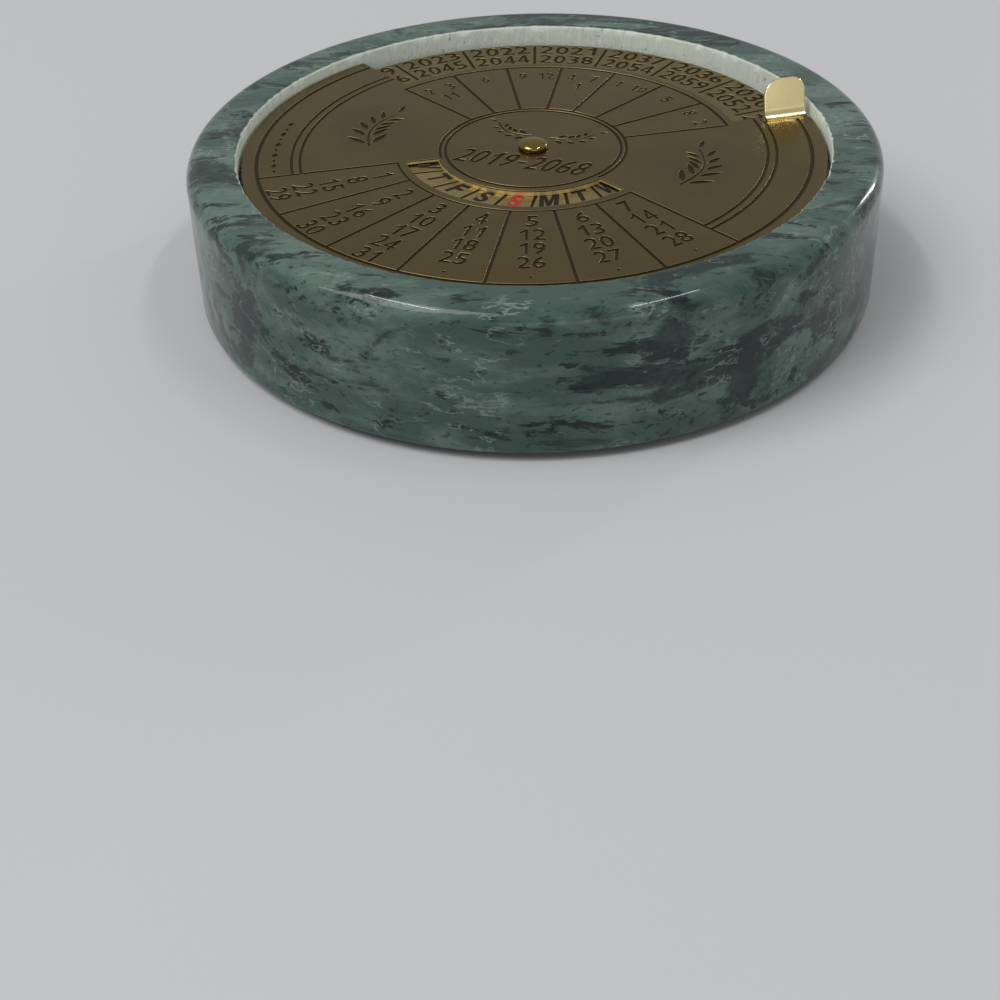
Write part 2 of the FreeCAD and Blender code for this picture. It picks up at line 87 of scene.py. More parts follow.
# Months by how many weekdays after 1 March they start; "1" beside "4" and "7", and "2" beside "8",
# are the January and February of a leap year
MONTH_GROUPS = (
    ("2", "3", "11"),
    ("6",),
    ("9", "12"),
    ("4", "7", "1"),
    ("1", "10"),
    ("5",),
    ("8", "2"),
)
LAST_DATE = 31
DATE_ROWS = 5

# Characters with a plain sans outline, one unit tall and centred, and the steps between characters
PLAIN_CHARACTERS = {
    "1": (((0.04, -0.5), (0.16, -0.5), (0.16, 0.5), (0.08, 0.5), (0.01, 0.40), (-0.08, 0.32),
           (-0.19, 0.26), (-0.19, 0.14), (-0.07, 0.19), (0.04, 0.28)),),
    "4": (((0.05, -0.5), (0.17, -0.5), (0.17, -0.27), (0.28, -0.27), (0.28, -0.16), (0.17, -0.16),
           (0.17, 0.5), (0.07, 0.5), (-0.28, -0.16), (-0.28, -0.27), (0.05, -0.27)),
          ((-0.18, -0.16), (0.05, 0.27), (0.05, -0.16))),
    "M": (((-0.42, -0.5), (-0.28, -0.5), (-0.27, 0.20), (-0.06, -0.5), (0.06, -0.5), (0.27, 0.20),
           (0.28, -0.5), (0.42, -0.5), (0.42, 0.5), (0.20, 0.5), (0.0, -0.22), (-0.20, 0.5),
           (-0.42, 0.5)),),
    "W": (((-0.47, 0.5), (-0.34, 0.5), (-0.22, -0.20), (-0.07, 0.5), (0.07, 0.5), (0.22, -0.20),
           (0.34, 0.5), (0.47, 0.5), (0.29, -0.5), (0.15, -0.5), (0.0, 0.18), (-0.15, -0.5),
           (-0.29, -0.5)),),
    "-": (((-0.17, -0.11), (0.17, -0.11), (0.17, 0.0), (-0.17, 0.0)),),
}
STEPS = {"-": 0.55}
FIGURE_STEP = 0.67
WIDTHS = {"T": 0.70}
FIGURE_WIDTH = 0.55

# How much the strokes of each kind of figure are thickened on every side
DATE_WEIGHT = 0.03 * MM
MONTH_WEIGHT = 0.02 * MM
SPAN_WEIGHT = 0.03 * MM
YEAR_WEIGHT = 0.05 * MM
WEEKDAY_WEIGHT = 0.12 * MM

# Places of the figures; the month rows' inset and pitch are counted in heights of their figures
MONTH_ROW_INSET = 1.6
MONTH_ROW_PITCH = 1.55
MONTH_SPREAD = 2.9 * MM
YEAR_ROW_INSETS = (1.62 * MM, 4.62 * MM)
YEAR_ROW_WIDTHS = (7.5 * MM, 6.8 * MM)
SPARE_ROW_OFFSET = 0.82 * MM
SPARE_ROW_WIDTH = 3.4 * MM
WEEKDAY_OFFSET = 0.68 * MM
DOT_RADIUS = 0.2 * MM

# How far layers of metal sink into one another, the slope round a plain layer, and the room under
# the window's lip
OVERLAP = 0.02 * MM
FINE_EDGE = 0.01 * MM
LIP_CLEARANCE = 0.03 * MM

# Waves that rough up a round edge, as (count in a full turn, phase)
CHIP_WAVES = ((17, 0.4), (41, 2.1), (67, 4.4), (113, 1.3), (151, 3.7))
FELT_WAVES = ((53, 0.0), (89, 1.1), (131, 2.3))


def length(name, description, default, low=0.0):
    """Size in metres that a user may change."""
    return bpy.props.FloatProperty(
        name=name, description=description, default=default, min=low,
        subtype="DISTANCE", unit="LENGTH", precision=5)


def colour(name, description, default):
    """Linear colour that a user may change."""
    return bpy.props.FloatVectorProperty(
        name=name, description=description, default=default, min=0.0, max=1.0, size=3,
        subtype="COLOR")


def share(name, description, default):
    """Number from 0 to 1 that a user may change."""
    return bpy.props.FloatProperty(
        name=name, description=description, default=default, min=0.0, max=1.0)


def rotation(name, description, degrees):
    """Angle that a user may change."""
    return bpy.props.FloatProperty(
        name=name, description=description, default=math.radians(degrees), subtype="ANGLE",
        unit="ROTATION")


def power(name, description, watts):
    """Power of a lamp that a user may change."""
    return bpy.props.FloatProperty(
        name=name, description=description, default=watts, min=0.0, unit="POWER")


class CalendarStone(bpy.types.PropertyGroup):
    """Sizes and colours of the puck and of what is stuck to it."""
    top_round: length("Top edge", "Radius on the upper outer edge", 1.85 * MM)
    bottom_round: length("Bottom edge", "Radius on the lower outer edge", 0.7 * MM)
    recess_edge: length("Recess edge", "Radius left on the sawn edge of the recess", 0.34 * MM)
    chip_depth: length("Chips", "How far small chips reach into the recess edge", 0.16 * MM)
    mid_green: colour("Green", "Ground colour of the stone", (0.046, 0.083, 0.068))
    light_green: colour("Light green", "Lighter clouds in the stone", (0.110, 0.164, 0.140))
    dark: colour("Dark", "Dark blotches in the stone", (0.003, 0.008, 0.010))
    pale: colour("Pale", "Short pale streaks in the stone", (0.240, 0.310, 0.270))
    sawn: colour("Sawn", "Unpolished wall and floor of the recess", (0.740, 0.800, 0.710))
    felt: colour("Felt", "Felt under the puck", (0.020, 0.045, 0.030))
    foam: colour("Foam", "Foam ring under the fixed disc", (0.60, 0.60, 0.57))


class CalendarDial(bpy.types.PropertyGroup):
    """Sizes and colours of the brass discs."""
    turn: rotation("Turn", "How far both layouts stand turned clockwise", 17.92)
    plate_margin: length("Plate margin", "How far the turning disc reaches past the fixed one", 1.5 * MM)
    wall_gap: length("Wall gap", "Room between the turning disc and the recess wall", 0.45 * MM)
    plate_thickness: length("Plate thickness", "Thickness of the turning disc", 0.4 * MM)
    bore: length("Bore", "Radius of the hole for the rivet", 0.95 * MM)
    line_width: length("Line width", "Width of an etched line", 0.36 * MM)
    etch_depth: length("Etch depth", "Depth of the etched lines and numbers", 0.12 * MM)
    worn_edge: length("Worn edge", "Width of the rounding on etched edges", 0.035 * MM)
    hub_line: length("Hub line", "Radius of the inner line round the hub", 10.2 * MM)
    hub_pitch: length("Hub pitch", "Distance between the two lines round the hub", 0.62 * MM)
    window_gap: length("Window gap", "Metal between the hub's lines and the window", 0.33 * MM)
    window_depth: length("Window depth", "Height of the weekday window", 3.75 * MM)
    lip_width: length("Lip", "Width of the lip turned down along the window's hub side", 0.2 * MM)
    frame_width: length("Frame width", "Width of the plain band outside the window", 0.9 * MM)
    frame_line: length("Frame line", "Width of the line outside that band", 0.25 * MM)
    opening_depth: length("Opening depth", "How far the opening for the years cuts in", 9.3 * MM)
    opening_land: rotation("Opening land", "Metal left at each end of the opening", 2.25)
    month_gap: length("Month gap", "From the opening in to the month line", 0.95 * MM)
    rim_width: length("Rim", "From the edge in to the rim line", 1.7 * MM)
    rim_line_width: length("Rim line width", "Width of the rim line", 0.45 * MM)
    side_band: length("Side band", "From the rim line in to the side panels", 4.0 * MM)
    side_pitch: length("Side pitch", "Distance between the side panels' two lines", 1.0 * MM)
    date_height: length("Date height", "Height of the date numbers", 2.4 * MM)
    first_date: length("First date", "Radius of the first row of dates", 18.2 * MM)
    date_pitch: length("Date pitch", "Distance between rows of dates", 3.04 * MM)
    month_height: length("Month height", "Height of the month numbers", 1.7 * MM)
    range_height: length("Range height", "Height of the span of years on the hub", 3.4 * MM)
    range_width: length("Range width", "Width of the span of years on the hub", 15.3 * MM)
    range_place: length("Range place", "How far the span of years lies in front of the rivet", 3.85 * MM)
    tab_setback: length("Tab setback", "From the opening's end back to the tab's bend", 1.5 * MM)
    tab_bend: length("Tab bend", "Inner radius of the tab's bend", 1.3 * MM)
    tab_lean: rotation("Tab lean", "How far the tab leans back from upright", 13)
    tab_edge_gap: length("Tab edge gap", "From the disc's edge in to the tab", 0.3 * MM)
    tab_width: length("Tab width", "Width of the thumb tab", 5.1 * MM)
    tab_relief: length("Tab relief", "Width of the slit beside the tab", 0.3 * MM)
    inner_corner: length("Inner corner", "Radius on the tab's corner near the rivet", 2.1 * MM)
    outer_corner: length("Outer corner", "Radius on the tab's corner near the edge", 1.5 * MM)
    year_height: length("Year height", "Height of the years in the two main rows", 2.45 * MM)
    spare_height: length("Spare height", "Height of the years in the short inner row", 1.1 * MM)
    weekday_height: length("Weekday height", "Height of the weekday initials", 2.3 * MM)
    # Plate brass is partly aged brass and partly painted shade: it is darkened to stand in for the dark
    # room that the disc's face reflects
    plate_brass: colour("Plate brass", "Aged brass of the turning disc", (0.174, 0.126, 0.045))
    etched: colour("Etched", "Dark ground of the etched lines", (0.050, 0.036, 0.014))
    # Colour of the etched edges: on the turning disc it is paler, partly wear and partly a painted
    # highlight; on the fixed disc it is darker than the brass, a painted shade that damps the glints on the
    # figures' edges
    worn: colour("Worn", "Brass showing on worn edges", (0.23, 0.18, 0.09))
    warm: colour("Warm", "Reddish tarnish on the side panels", (0.150, 0.094, 0.038))
    disc_brass: colour("Disc brass", "Brighter brass of the fixed disc", (0.42, 0.33, 0.145))
    # Bright brass: painted brighter than the face, a painted reflection on the thumb tab and a painted
    # highlight on the cut walls; the washers take it as their own colour
    bright_brass: colour("Bright brass", "Polished brass of the tab", (0.96, 0.80, 0.42))
    # Rivet brass is painted dark: a painted shade for the dark room that the polished dome reflects
    rivet_brass: colour("Rivet brass", "Polished brass of the rivet", (0.26, 0.19, 0.055))
    black_ink: colour("Black", "Enamel in the weekday initials", (0.010, 0.009, 0.008))
    red_ink: colour("Red", "Enamel in the Sunday initials", (0.34, 0.018, 0.012))


class CalendarStage(bpy.types.PropertyGroup):
    """Where the camera and the lamps stand."""
    distance: length("Distance", "From the middle of the puck's top to the camera", 204.14 * MM)
    height: rotation("Height", "Angle of the camera above the puck's top", 24.852)
    yaw: rotation("Yaw", "How far the camera looks past the middle sideways", -1.307)
    pitch: rotation("Pitch", "How far the camera looks past the middle upwards", -11.828)
    roll: rotation("Roll", "How far the camera is tilted", -1.159)
    lens: bpy.props.FloatProperty(
        name="Lens", description="Focal length in millimetres on a 36 mm sensor", default=62.22,
        unit="CAMERA")
    floor: colour("Floor", "Plain pale floor", (0.50, 0.505, 0.515))
    floor_size: length("Floor size", "Half the width of the floor", 20.0)
    key_power: power("Key power", "Power of the large soft lamp in watts", 6.7)
    strip_power: power("Strip power", "Power of each narrow lamp in watts", 1.2)
    front_power: power("Front power", "Power of the lamp behind the camera in watts", 2.2)
    world_level: share("World level", "Brightness of the plain surroundings", 0.39)


# Shader graphs

class Signal:
    """A number that varies over a surface; arithmetic on it adds Math nodes to its graph."""

    def __init__(self, graph, socket):
        self.graph = graph
        self.socket = socket

    def combine(self, operation, first, second):
        node = self.graph.add("ShaderNodeMath", {"operation": operation}, {0: first, 1: second})
        return Signal(self.graph, node.outputs[0])

    def __add__(self, other):
        return self.combine("ADD", self, other)

    def __radd__(self, other):
        return self.combine("ADD", other, self)

    def __sub__(self, other):
        return self.combine("SUBTRACT", self, other)

    def __rsub__(self, other):
        return self.combine("SUBTRACT", other, self)

    def __mul__(self, other):
        return self.combine("MULTIPLY", self, other)

    def __rmul__(self, other):
        return self.combine("MULTIPLY", other, self)

    def __abs__(self):
        return self.combine("ABSOLUTE", self, 0.0)

    def most(self, other):
        return self.combine("MAXIMUM", self, other)

    def step(self, low, high):
        """0 below low, 1 above high and a smooth rise between them."""
        node = self.graph.add(
            "ShaderNodeMapRange", {"interpolation_type": "SMOOTHSTEP", "clamp": True},
            {"Value": self, "From Min": low, "From Max": high})
        return Signal(self.graph, node.outputs["Result"])


class Graph:
    """The node tree of one material, with its shader and its Object coordinates in millimetres."""

    def __init__(self, name, **constants):
        self.material = bpy.data.materials.new(name)
        self.material.use_nodes = True
        self.tree = self.material.node_tree
        self.shader = self.tree.nodes["Principled BSDF"]
        for socket, value in constants.items():
            self.shader.inputs[socket.replace("_", " ")].default_value = value
        self.coordinates = self.add("ShaderNodeTexCoord", {}, {}).outputs["Object"]

    def add(self, kind, settings, inputs):
        """Node of a kind with its settings, which are set first, and its sockets' values or links."""
        node = self.tree.nodes.new(kind)
        for name, value in settings.items():
            setattr(node, name, value)
        for key, value in inputs.items():
            socket = node.inputs[key]
            if isinstance(value, Signal):
                value = value.socket
            if isinstance(value, bpy.types.NodeSocket):
                self.tree.links.new(value, socket)
            else:
                socket.default_value = value
        return node

    def place(self, scale=(1000, 1000, 1000), turn=(0, 0, 0), shift=(0, 0, 0)):
        """Object coordinates scaled, turned and shifted; a scale of 1000 gives millimetres."""
        node = self.add("ShaderNodeMapping", {"vector_type": "POINT"}, {
            "Vector": self.coordinates, "Scale": scale, "Rotation": turn, "Location": shift})
        return node.outputs["Vector"]

    def parts(self, vector):
        """The three numbers of a vector."""
        node = self.add("ShaderNodeSeparateXYZ", {}, {"Vector": vector})
        return [Signal(self, output) for output in node.outputs]

    def radius(self, vector):
        """Distance from the Z axis."""
        flat = self.add("ShaderNodeVectorMath", {"operation": "MULTIPLY"},
                        {0: vector, 1: (1.0, 1.0, 0.0)}).outputs[0]
        node = self.add("ShaderNodeVectorMath", {"operation": "LENGTH"}, {0: flat})
        return Signal(self, node.outputs["Value"])

    def distance(self, x, y):
        """Length of the flat vector with these two numbers."""
        joined = self.add("ShaderNodeCombineXYZ", {}, {"X": x, "Y": y}).outputs[0]
        node = self.add("ShaderNodeVectorMath", {"operation": "LENGTH"}, {0: joined})
        return Signal(self, node.outputs["Value"])

    def noise(self, vector, scale, detail=4.0, roughness=0.5, distortion=0.0):
        """Cloudy noise around one half."""
        node = self.add("ShaderNodeTexNoise", {"noise_dimensions": "3D"}, {
            "Vector": vector, "Scale": scale, "Detail": detail, "Roughness": roughness,
            "Distortion": distortion})
        return Signal(self, node.outputs["Fac"])

    def mix(self, factor, first, second):
        """Colour between two colours; sockets 6 and 7 and output 2 are the node's colour ones."""
        def four(value):
            return (*value, 1.0) if not isinstance(value, bpy.types.NodeSocket) else value
        node = self.add("ShaderNodeMix", {"data_type": "RGBA", "clamp_factor": True}, {
            "Factor": factor, 6: four(first), 7: four(second)})
        return node.outputs[2]

    def drive(self, **sockets):
        """Links what varies to the shader's sockets."""
        for name, value in sockets.items():
            socket = value.socket if isinstance(value, Signal) else value
            self.tree.links.new(socket, self.shader.inputs[name.replace("_", " ")])

    def bump(self, height, strength, distance):
        """Normal disturbed by a height in metres."""
        node = self.add("ShaderNodeBump", {}, {
            "Height": height, "Strength": strength, "Distance": distance})
        self.drive(Normal=node.outputs["Normal"])


def stone_material(stone, recess_radius):
    """Polished green marble with dark blotches and pale streaks; rough and pale inside the recess."""
    graph = Graph("green_marble", Coat_Roughness=0.03, IOR=1.5, Specular_IOR_Level=0.1)
    plain = graph.place()
    layered = graph.place(scale=(330, 900, 1150), turn=(0.0, math.radians(9), math.radians(-8)))
    broad = graph.place(scale=(420, 1000, 1250), turn=(0.0, math.radians(12), math.radians(-14)),
                        shift=(2.5, 4.0, 1.0))
    fine = graph.place(scale=(520, 1300, 1500), turn=(0.0, math.radians(14), math.radians(6)),
                       shift=(7.0, 3.0, 11.0))
    clouds = graph.noise(layered, 0.14, detail=7.0, roughness=0.65, distortion=0.35)
    grain = graph.noise(plain, 1.1, detail=5.0, roughness=0.65)
    ground = graph.mix(clouds.step(0.42, 0.60), stone.mid_green, stone.light_green)
    ground = graph.mix((grain.step(0.35, 0.75)) * 0.35, ground, stone.mid_green)
    blotches = graph.noise(layered, 0.34, detail=9.0, roughness=0.70, distortion=0.5).step(0.55, 0.60)
    patches = graph.noise(broad, 0.085, detail=9.0, roughness=0.68, distortion=0.5).step(0.525, 0.585)
    specks = graph.noise(fine, 1.0, detail=6.0, roughness=0.65, distortion=0.4).step(0.585, 0.64)
    dark = blotches.most(patches * 0.85).most(specks * 0.75)
    ground = graph.mix(dark * (0.55 + 0.6 * grain), ground, stone.dark)
    ridge = abs(graph.noise(fine, 0.26, detail=4.0, roughness=0.6) - 0.5)
    gaps = graph.noise(plain, 0.22, detail=3.0).step(0.47, 0.62)
    streaks = (1.0 - ridge.step(0.002, 0.022)) * gaps
    ground = graph.mix(streaks * 0.5, ground, stone.pale)
    z = graph.parts(plain)[2]
    inside = 1.0 - graph.radius(plain).step(recess_radius / MM + 0.30, recess_radius / MM + 0.46)
    deep = 1.0 - z.step(STONE_HIGH.z / MM - 0.25, STONE_HIGH.z / MM - 0.02)
    above = z.step(STONE_LOW.z / MM + 1.0, STONE_LOW.z / MM + 1.2)
    rough = inside * deep * above
    saw = graph.noise(graph.place(scale=(1000, 1000, 250)), 1.6, detail=5.0, roughness=0.7)
    stains = graph.noise(plain, 0.9, detail=6.0, roughness=0.65).step(0.62, 0.70)
    sawn = graph.mix(saw.step(0.3, 0.7) * 0.12, stone.sawn, stone.light_green)
    sawn = graph.mix(stains * 0.6, sawn, stone.mid_green)
    graph.drive(
        Base_Color=graph.mix(rough, ground, sawn),
        Roughness=0.20 + grain * 0.08 + rough * 0.45,
        Coat_Weight=0.42 - rough * 0.42)
    graph.bump(saw * rough, 0.9, 0.25 * MM)
    return graph.material


def etched_brass_material(dial):
    """Aged satin brass, its ground partly painted shade: dark in the etched lines, paler on the etched
    edges (wear and painted highlight), with a painted reflection on the thumb tab and a painted highlight
    on the cut walls.
    """
    graph = Graph("antique_brass", Metallic=1.0, Coat_Weight=0.03, Coat_Roughness=0.25)
    turned = graph.place(turn=(0.0, 0.0, dial.turn))
    x, y, z = graph.parts(turned)
    top = (PLATE_LOW.z + dial.plate_thickness) / MM
    depth = dial.etch_depth / MM
    edge = dial.worn_edge / MM
    # Everything below the etched floor, the walls cut round the window and its lip, the opening, the bore
    # and the outer edge, is painted bright brass: a painted highlight on the cut edges
    cut = 1.0 - z.step(top - depth - 0.05, top - depth - 0.03)
    below = (1.0 - z.step(top - depth * 0.95, top - edge * 1.2)) * (1.0 - cut)
    # Mask of the etched edges' rounding, painted paler: partly wear, partly a painted highlight
    worn = (1.0 - z.step(top - edge * 0.25, top - edge * 0.05)) * (1.0 - below)
    blotches = graph.noise(turned, 0.16, detail=5.0, roughness=0.6, distortion=0.4)
    speckle = graph.noise(turned, 2.6, detail=4.0, roughness=0.7)
    brushed = graph.noise(graph.place(scale=(260, 5200, 1000), turn=(0.0, 0.0, dial.turn)), 1.0, detail=3.0)
    panel_middle = 19.3
    reach = graph.distance(abs(x) - panel_middle, y)
    warmth = (1.0 - reach.step(2.5, 9.5)) * (0.35 + 0.9 * blotches)
    # The face's ground is the plate brass: aged, and painted dark as shade for the dark surroundings it
    # reflects
    face = graph.mix(blotches.step(0.3, 0.75) * 0.5, dial.plate_brass,
                     [c * 0.72 for c in dial.plate_brass])
    face = graph.mix(warmth, face, dial.warm)
    face = graph.mix(speckle.step(0.58, 0.8) * 0.35, face, [c * 0.5 for c in dial.plate_brass])
    face = graph.mix(worn * 0.85, face, dial.worn)
    face = graph.mix(below, face, dial.etched)
    # Painted highlight: the cut walls take the bright brass
    face = graph.mix(cut, face, dial.bright_brass)
    # The thumb tab, which rises above the face, is painted in the bright brass: a painted reflection of the
    # bright room in front, on the same brass as the face
    raised = z.step(top + 0.10, top + 0.30)
    scuffs = graph.noise(graph.place(scale=(900, 900, 300)), 1.3, detail=5.0, roughness=0.65)
    tab = graph.mix(scuffs.step(0.5, 0.8) * 0.35, dial.bright_brass,
                    [c * 0.72 for c in dial.bright_brass])
    graph.drive(
        Base_Color=graph.mix(raised, face, tab),
        Roughness=0.21 + blotches * 0.08 + (below + worn) * 0.25 - raised * 0.10 + speckle * 0.05)
    graph.bump(brushed * 0.4 + speckle, 0.10, 0.02 * MM)
    return graph.material


def disc_brass_material(dial):
    """Brighter brass of the fixed disc, with dark etched figures, painted shade over the outer years zone
    and on the figures' edges.
    """
    graph = Graph("bright_brass", Metallic=1.0)
    turned = graph.place(turn=(0.0, 0.0, dial.turn))
    z = graph.parts(turned)[2]
    top = DISC_HIGH.z / MM
    depth = dial.etch_depth / MM
    edge = dial.worn_edge / MM
    below = 1.0 - z.step(top - depth * 0.95, top - edge * 1.2)
    # Mask of the etched edges' rounding; their colour is darker than this disc's brass, a painted shade
    # that damps the glints on the figures' edges
    worn = (1.0 - z.step(top - edge * 0.25, top - edge * 0.05)) * (1.0 - below)
    tarnish = graph.noise(turned, 0.35, detail=6.0, roughness=0.62, distortion=0.5)
    speckle = graph.noise(turned, 3.2, detail=4.0, roughness=0.7)
    # Painted shade: from the weekday ring outwards, over the years under the plate's opening, the disc is
    # mixed towards the darker plate brass
    outer = graph.radius(turned).step(16.0, 25.0)
    face = graph.mix(tarnish.step(0.35, 0.8) * 0.6, dial.disc_brass, [c * 0.6 for c in dial.disc_brass])
    face = graph.mix(outer * 0.7, face, dial.plate_brass)
    face = graph.mix(worn * 0.8, face, dial.worn)
    face = graph.mix(below, face, dial.etched)
    graph.drive(Base_Color=face, Roughness=0.22 + tarnish * 0.16 + (below + worn) * 0.25 + speckle * 0.06)
    graph.bump(speckle, 0.10, 0.02 * MM)
    return graph.material


def polished_brass_material(name, brass, roughness):
    """Plain brass with faint handling marks."""
    graph = Graph(name, Metallic=1.0)
    plain = graph.place()
    marks = graph.noise(plain, 1.4, detail=5.0, roughness=0.6)
    hairlines = graph.noise(graph.place(scale=(6000, 500, 800)), 1.0, detail=2.0)
    graph.drive(
        Base_Color=graph.mix(marks.step(0.45, 0.8) * 0.4, brass, [c * 0.7 for c in brass]),
        Roughness=roughness + marks * 0.10)
    graph.bump(hairlines, 0.05, 0.01 * MM)
    return graph.material


def enamel_material(name, ink):
    """Glossy enamel that fills an etched letter, a little uneven."""
    graph = Graph(name, IOR=1.3)
    uneven = graph.noise(graph.place(), 3.0, detail=4.0)
    graph.drive(
        Base_Color=graph.mix(uneven.step(0.35, 0.8) * 0.5, ink, [min(1.0, c * 1.8 + 0.006) for c in ink]),
        Roughness=0.55 + uneven * 0.2)
    graph.bump(uneven, 0.2, 0.02 * MM)
    return graph.material


def felt_material(stone):
    """Pressed felt: short matted fibres in slightly different greens."""
    graph = Graph("felt", Roughness=0.95, Sheen_Weight=0.3, Sheen_Roughness=0.5)
    plain = graph.place()
    fibres = graph.noise(plain, 3.5, detail=8.0, roughness=0.75, distortion=1.5)
    clumps = graph.noise(plain, 0.6, detail=5.0, roughness=0.6)
    ground = graph.mix(fibres.step(0.35, 0.7), stone.felt, [min(1.0, c * 2.2) for c in stone.felt])
    ground = graph.mix(clumps.step(0.5, 0.8) * 0.4, ground, [c * 0.5 for c in stone.felt])
    graph.drive(Base_Color=ground)
    graph.bump(fibres + clumps * 0.5, 0.8, 0.12 * MM)
    return graph.material


def foam_material(stone):
    """White closed-cell foam with fine pores, painted darker as shade in their hollows."""
    graph = Graph("foam", Roughness=0.9)
    pores = graph.add("ShaderNodeTexVoronoi", {"feature": "F1"}, {
        "Vector": graph.place(), "Scale": 3.2})
    size = Signal(graph, pores.outputs["Distance"])
    # The pores are painted darker, a painted shade in their hollows
    graph.drive(Base_Color=graph.mix(size.step(0.1, 0.5), [c * 0.6 for c in stone.foam], stone.foam))
    graph.bump(size, 0.6, 0.1 * MM)
    return graph.material


# Surfaces

def grid_faces(rows, columns, wrap_rows=False, wrap_columns=True):
    """Quads of a grid of rows and columns of points, which may close on itself either way."""
    row = np.arange(rows if wrap_rows else rows - 1)[:, None]
    column = np.arange(columns if wrap_columns else columns - 1)[None, :]
    above = (row + 1) % rows
    beside = (column + 1) % columns
    corners = (row * columns + column, row * columns + beside,
               above * columns + beside, above * columns + column)
    return np.stack(np.broadcast_arrays(*corners), axis=-1).reshape(-1, 4).tolist()


def circle_angles(count):
    """Angles of points spread evenly round a circle, in radians."""
    return np.linspace(0, 2 * math.pi, count, endpoint=False)


def revolve(profile, count, sway=None):
    """Closed surface: x = r cos a, y = r sin a for each (r, z) of a profile from axis to axis.

    sway, where given, is added to r for each profile point and angle."""
    profile = np.asarray(profile, float)
    angle = circle_angles(count)
    reach = profile[1:-1, 0][:, None] + (0 if sway is None else sway)
    reach = np.broadcast_to(reach, (len(profile) - 2, count))
    height = np.broadcast_to(profile[1:-1, 1][:, None], reach.shape)
    rings = np.stack([reach * np.cos(angle), reach * np.sin(angle), height], axis=-1).reshape(-1, 3)
    poles = np.array([[0, 0, profile[0, 1]], [0, 0, profile[-1, 1]]])
    first, last = len(rings), len(rings) + 1
    start = last - 1 - count
    around = np.arange(count)
    following = (around + 1) % count
    low_cap = np.stack([np.full(count, first), following, around], axis=-1)
    high_cap = np.stack([np.full(count, last), start + around, start + following], axis=-1)
    faces = grid_faces(len(profile) - 2, count) + low_cap.tolist() + high_cap.tolist()
    return np.concatenate([rings, poles]), faces


def revolve_loop(profile, count):
    """Ring: a closed loop of (r, z) carried round the axis."""
    profile = np.asarray(profile, float)
    angle = circle_angles(count)
    reach = profile[:, 0][:, None]
    height = np.broadcast_to(profile[:, 1][:, None], (len(profile), count))
    points = np.stack([reach * np.cos(angle), reach * np.sin(angle), height], axis=-1)
    return points.reshape(-1, 3), grid_faces(len(profile), count, wrap_rows=True)


def waves(angle, terms):
    """Sum of sin(n a + p) for each (n, p) of the terms."""
    return sum(np.sin(count * angle + phase) for count, phase in terms)


def bend(centre, radius, start, end, count=7):
    """Points of an arc in a profile, between two angles in degrees."""
    angle = np.radians(np.linspace(start, end, count))
    return [(centre[0] + radius * math.cos(a), centre[1] + radius * math.sin(a)) for a in angle]


def make_object(name, vertices, faces, material, body, smooth=False):
    """Mesh object at the origin that rides on a body."""
    mesh = bpy.data.meshes.new(name)
    mesh.from_pydata(np.asarray(vertices, float).tolist(), [], faces)
    mesh.validate()
    mesh.polygons.foreach_set("use_smooth", np.full(len(mesh.polygons), smooth))
    mesh.materials.append(material)
    mesh.update()
    piece = bpy.data.objects.new(name, mesh)
    bpy.context.scene.collection.objects.link(piece)
    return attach(piece, body)


# Etched sheets: outlines are arrays of (x, y) in the layout, which has the months in the middle of +Y

def arc(radius, start, end, step=1.2):
    """Points of an arc round the rivet, between two angles in degrees."""
    count = max(2, int(abs(end - start) / step) + 2)
    angle = np.radians(np.linspace(start, end, count))
    return radius * np.stack([np.cos(angle), np.sin(angle)], axis=-1)


def circle(radius, centre=(0.0, 0.0), count=None):
    """Points of a whole circle."""
    count = count or max(12, int(radius / MM * 9))
    angle = circle_angles(count)
    return np.asarray(centre) + radius * np.stack([np.cos(angle), np.sin(angle)], axis=-1)


def past(radius, angle, distance):
    """Angle in degrees of the point at a radius that lies a distance beside a radial line."""
    return angle + math.degrees(math.asin(distance / radius))


def sector(inner, outer, start, end, start_gap=0.0, end_gap=0.0):
    """Outline of a part of a ring whose ends stand off two radial lines by fixed distances."""
    return np.concatenate([
        arc(outer, past(outer, start, start_gap), past(outer, end, -end_gap)),
        arc(inner, past(inner, end, -end_gap), past(inner, start, start_gap)),
    ])


def bar(inner, outer, angle, width, lean=0.0):
    """Outline of a radial line, whose inner end may lean counter-clockwise by a share of its length."""
    half = width / 2
    shift = lean * (outer - inner) / 2
    points = np.array([(inner, shift - half), (outer, -shift - half),
                       (outer, half - shift), (inner, shift + half)])
    return turned(points, angle)


def turned(points, angle):
    """Points turned round the rivet by an angle in degrees, counter-clockwise."""
    a = math.radians(angle)
    return np.asarray(points) @ np.array([[math.cos(a), math.sin(a)], [-math.sin(a), math.cos(a)]])


def area(outline):
    """Signed area of an outline, positive when it runs counter-clockwise."""
    x, y = outline[:, 0], outline[:, 1]
    return 0.5 * float(np.sum(x * np.roll(y, -1) - np.roll(x, -1) * y))


def wound(outline, positive):
    """The outline run counter-clockwise if positive, clockwise if not."""
    return outline if (area(outline) > 0) == positive else outline[::-1]


def inset(outline, distance):
    """Outline moved to its own left, at each point along the bisector of its two sides."""
    along = np.roll(outline, -1, axis=0) - outline
    along = along / np.maximum(np.linalg.norm(along, axis=1, keepdims=True), 1e-12)
    left = np.stack([-along[:, 1], along[:, 0]], axis=-1)
    middle = left + np.roll(left, 1, axis=0)
    scale = np.maximum(np.sum(middle * middle, axis=1, keepdims=True) / 2, 0.3)
    return outline + distance * middle / scale


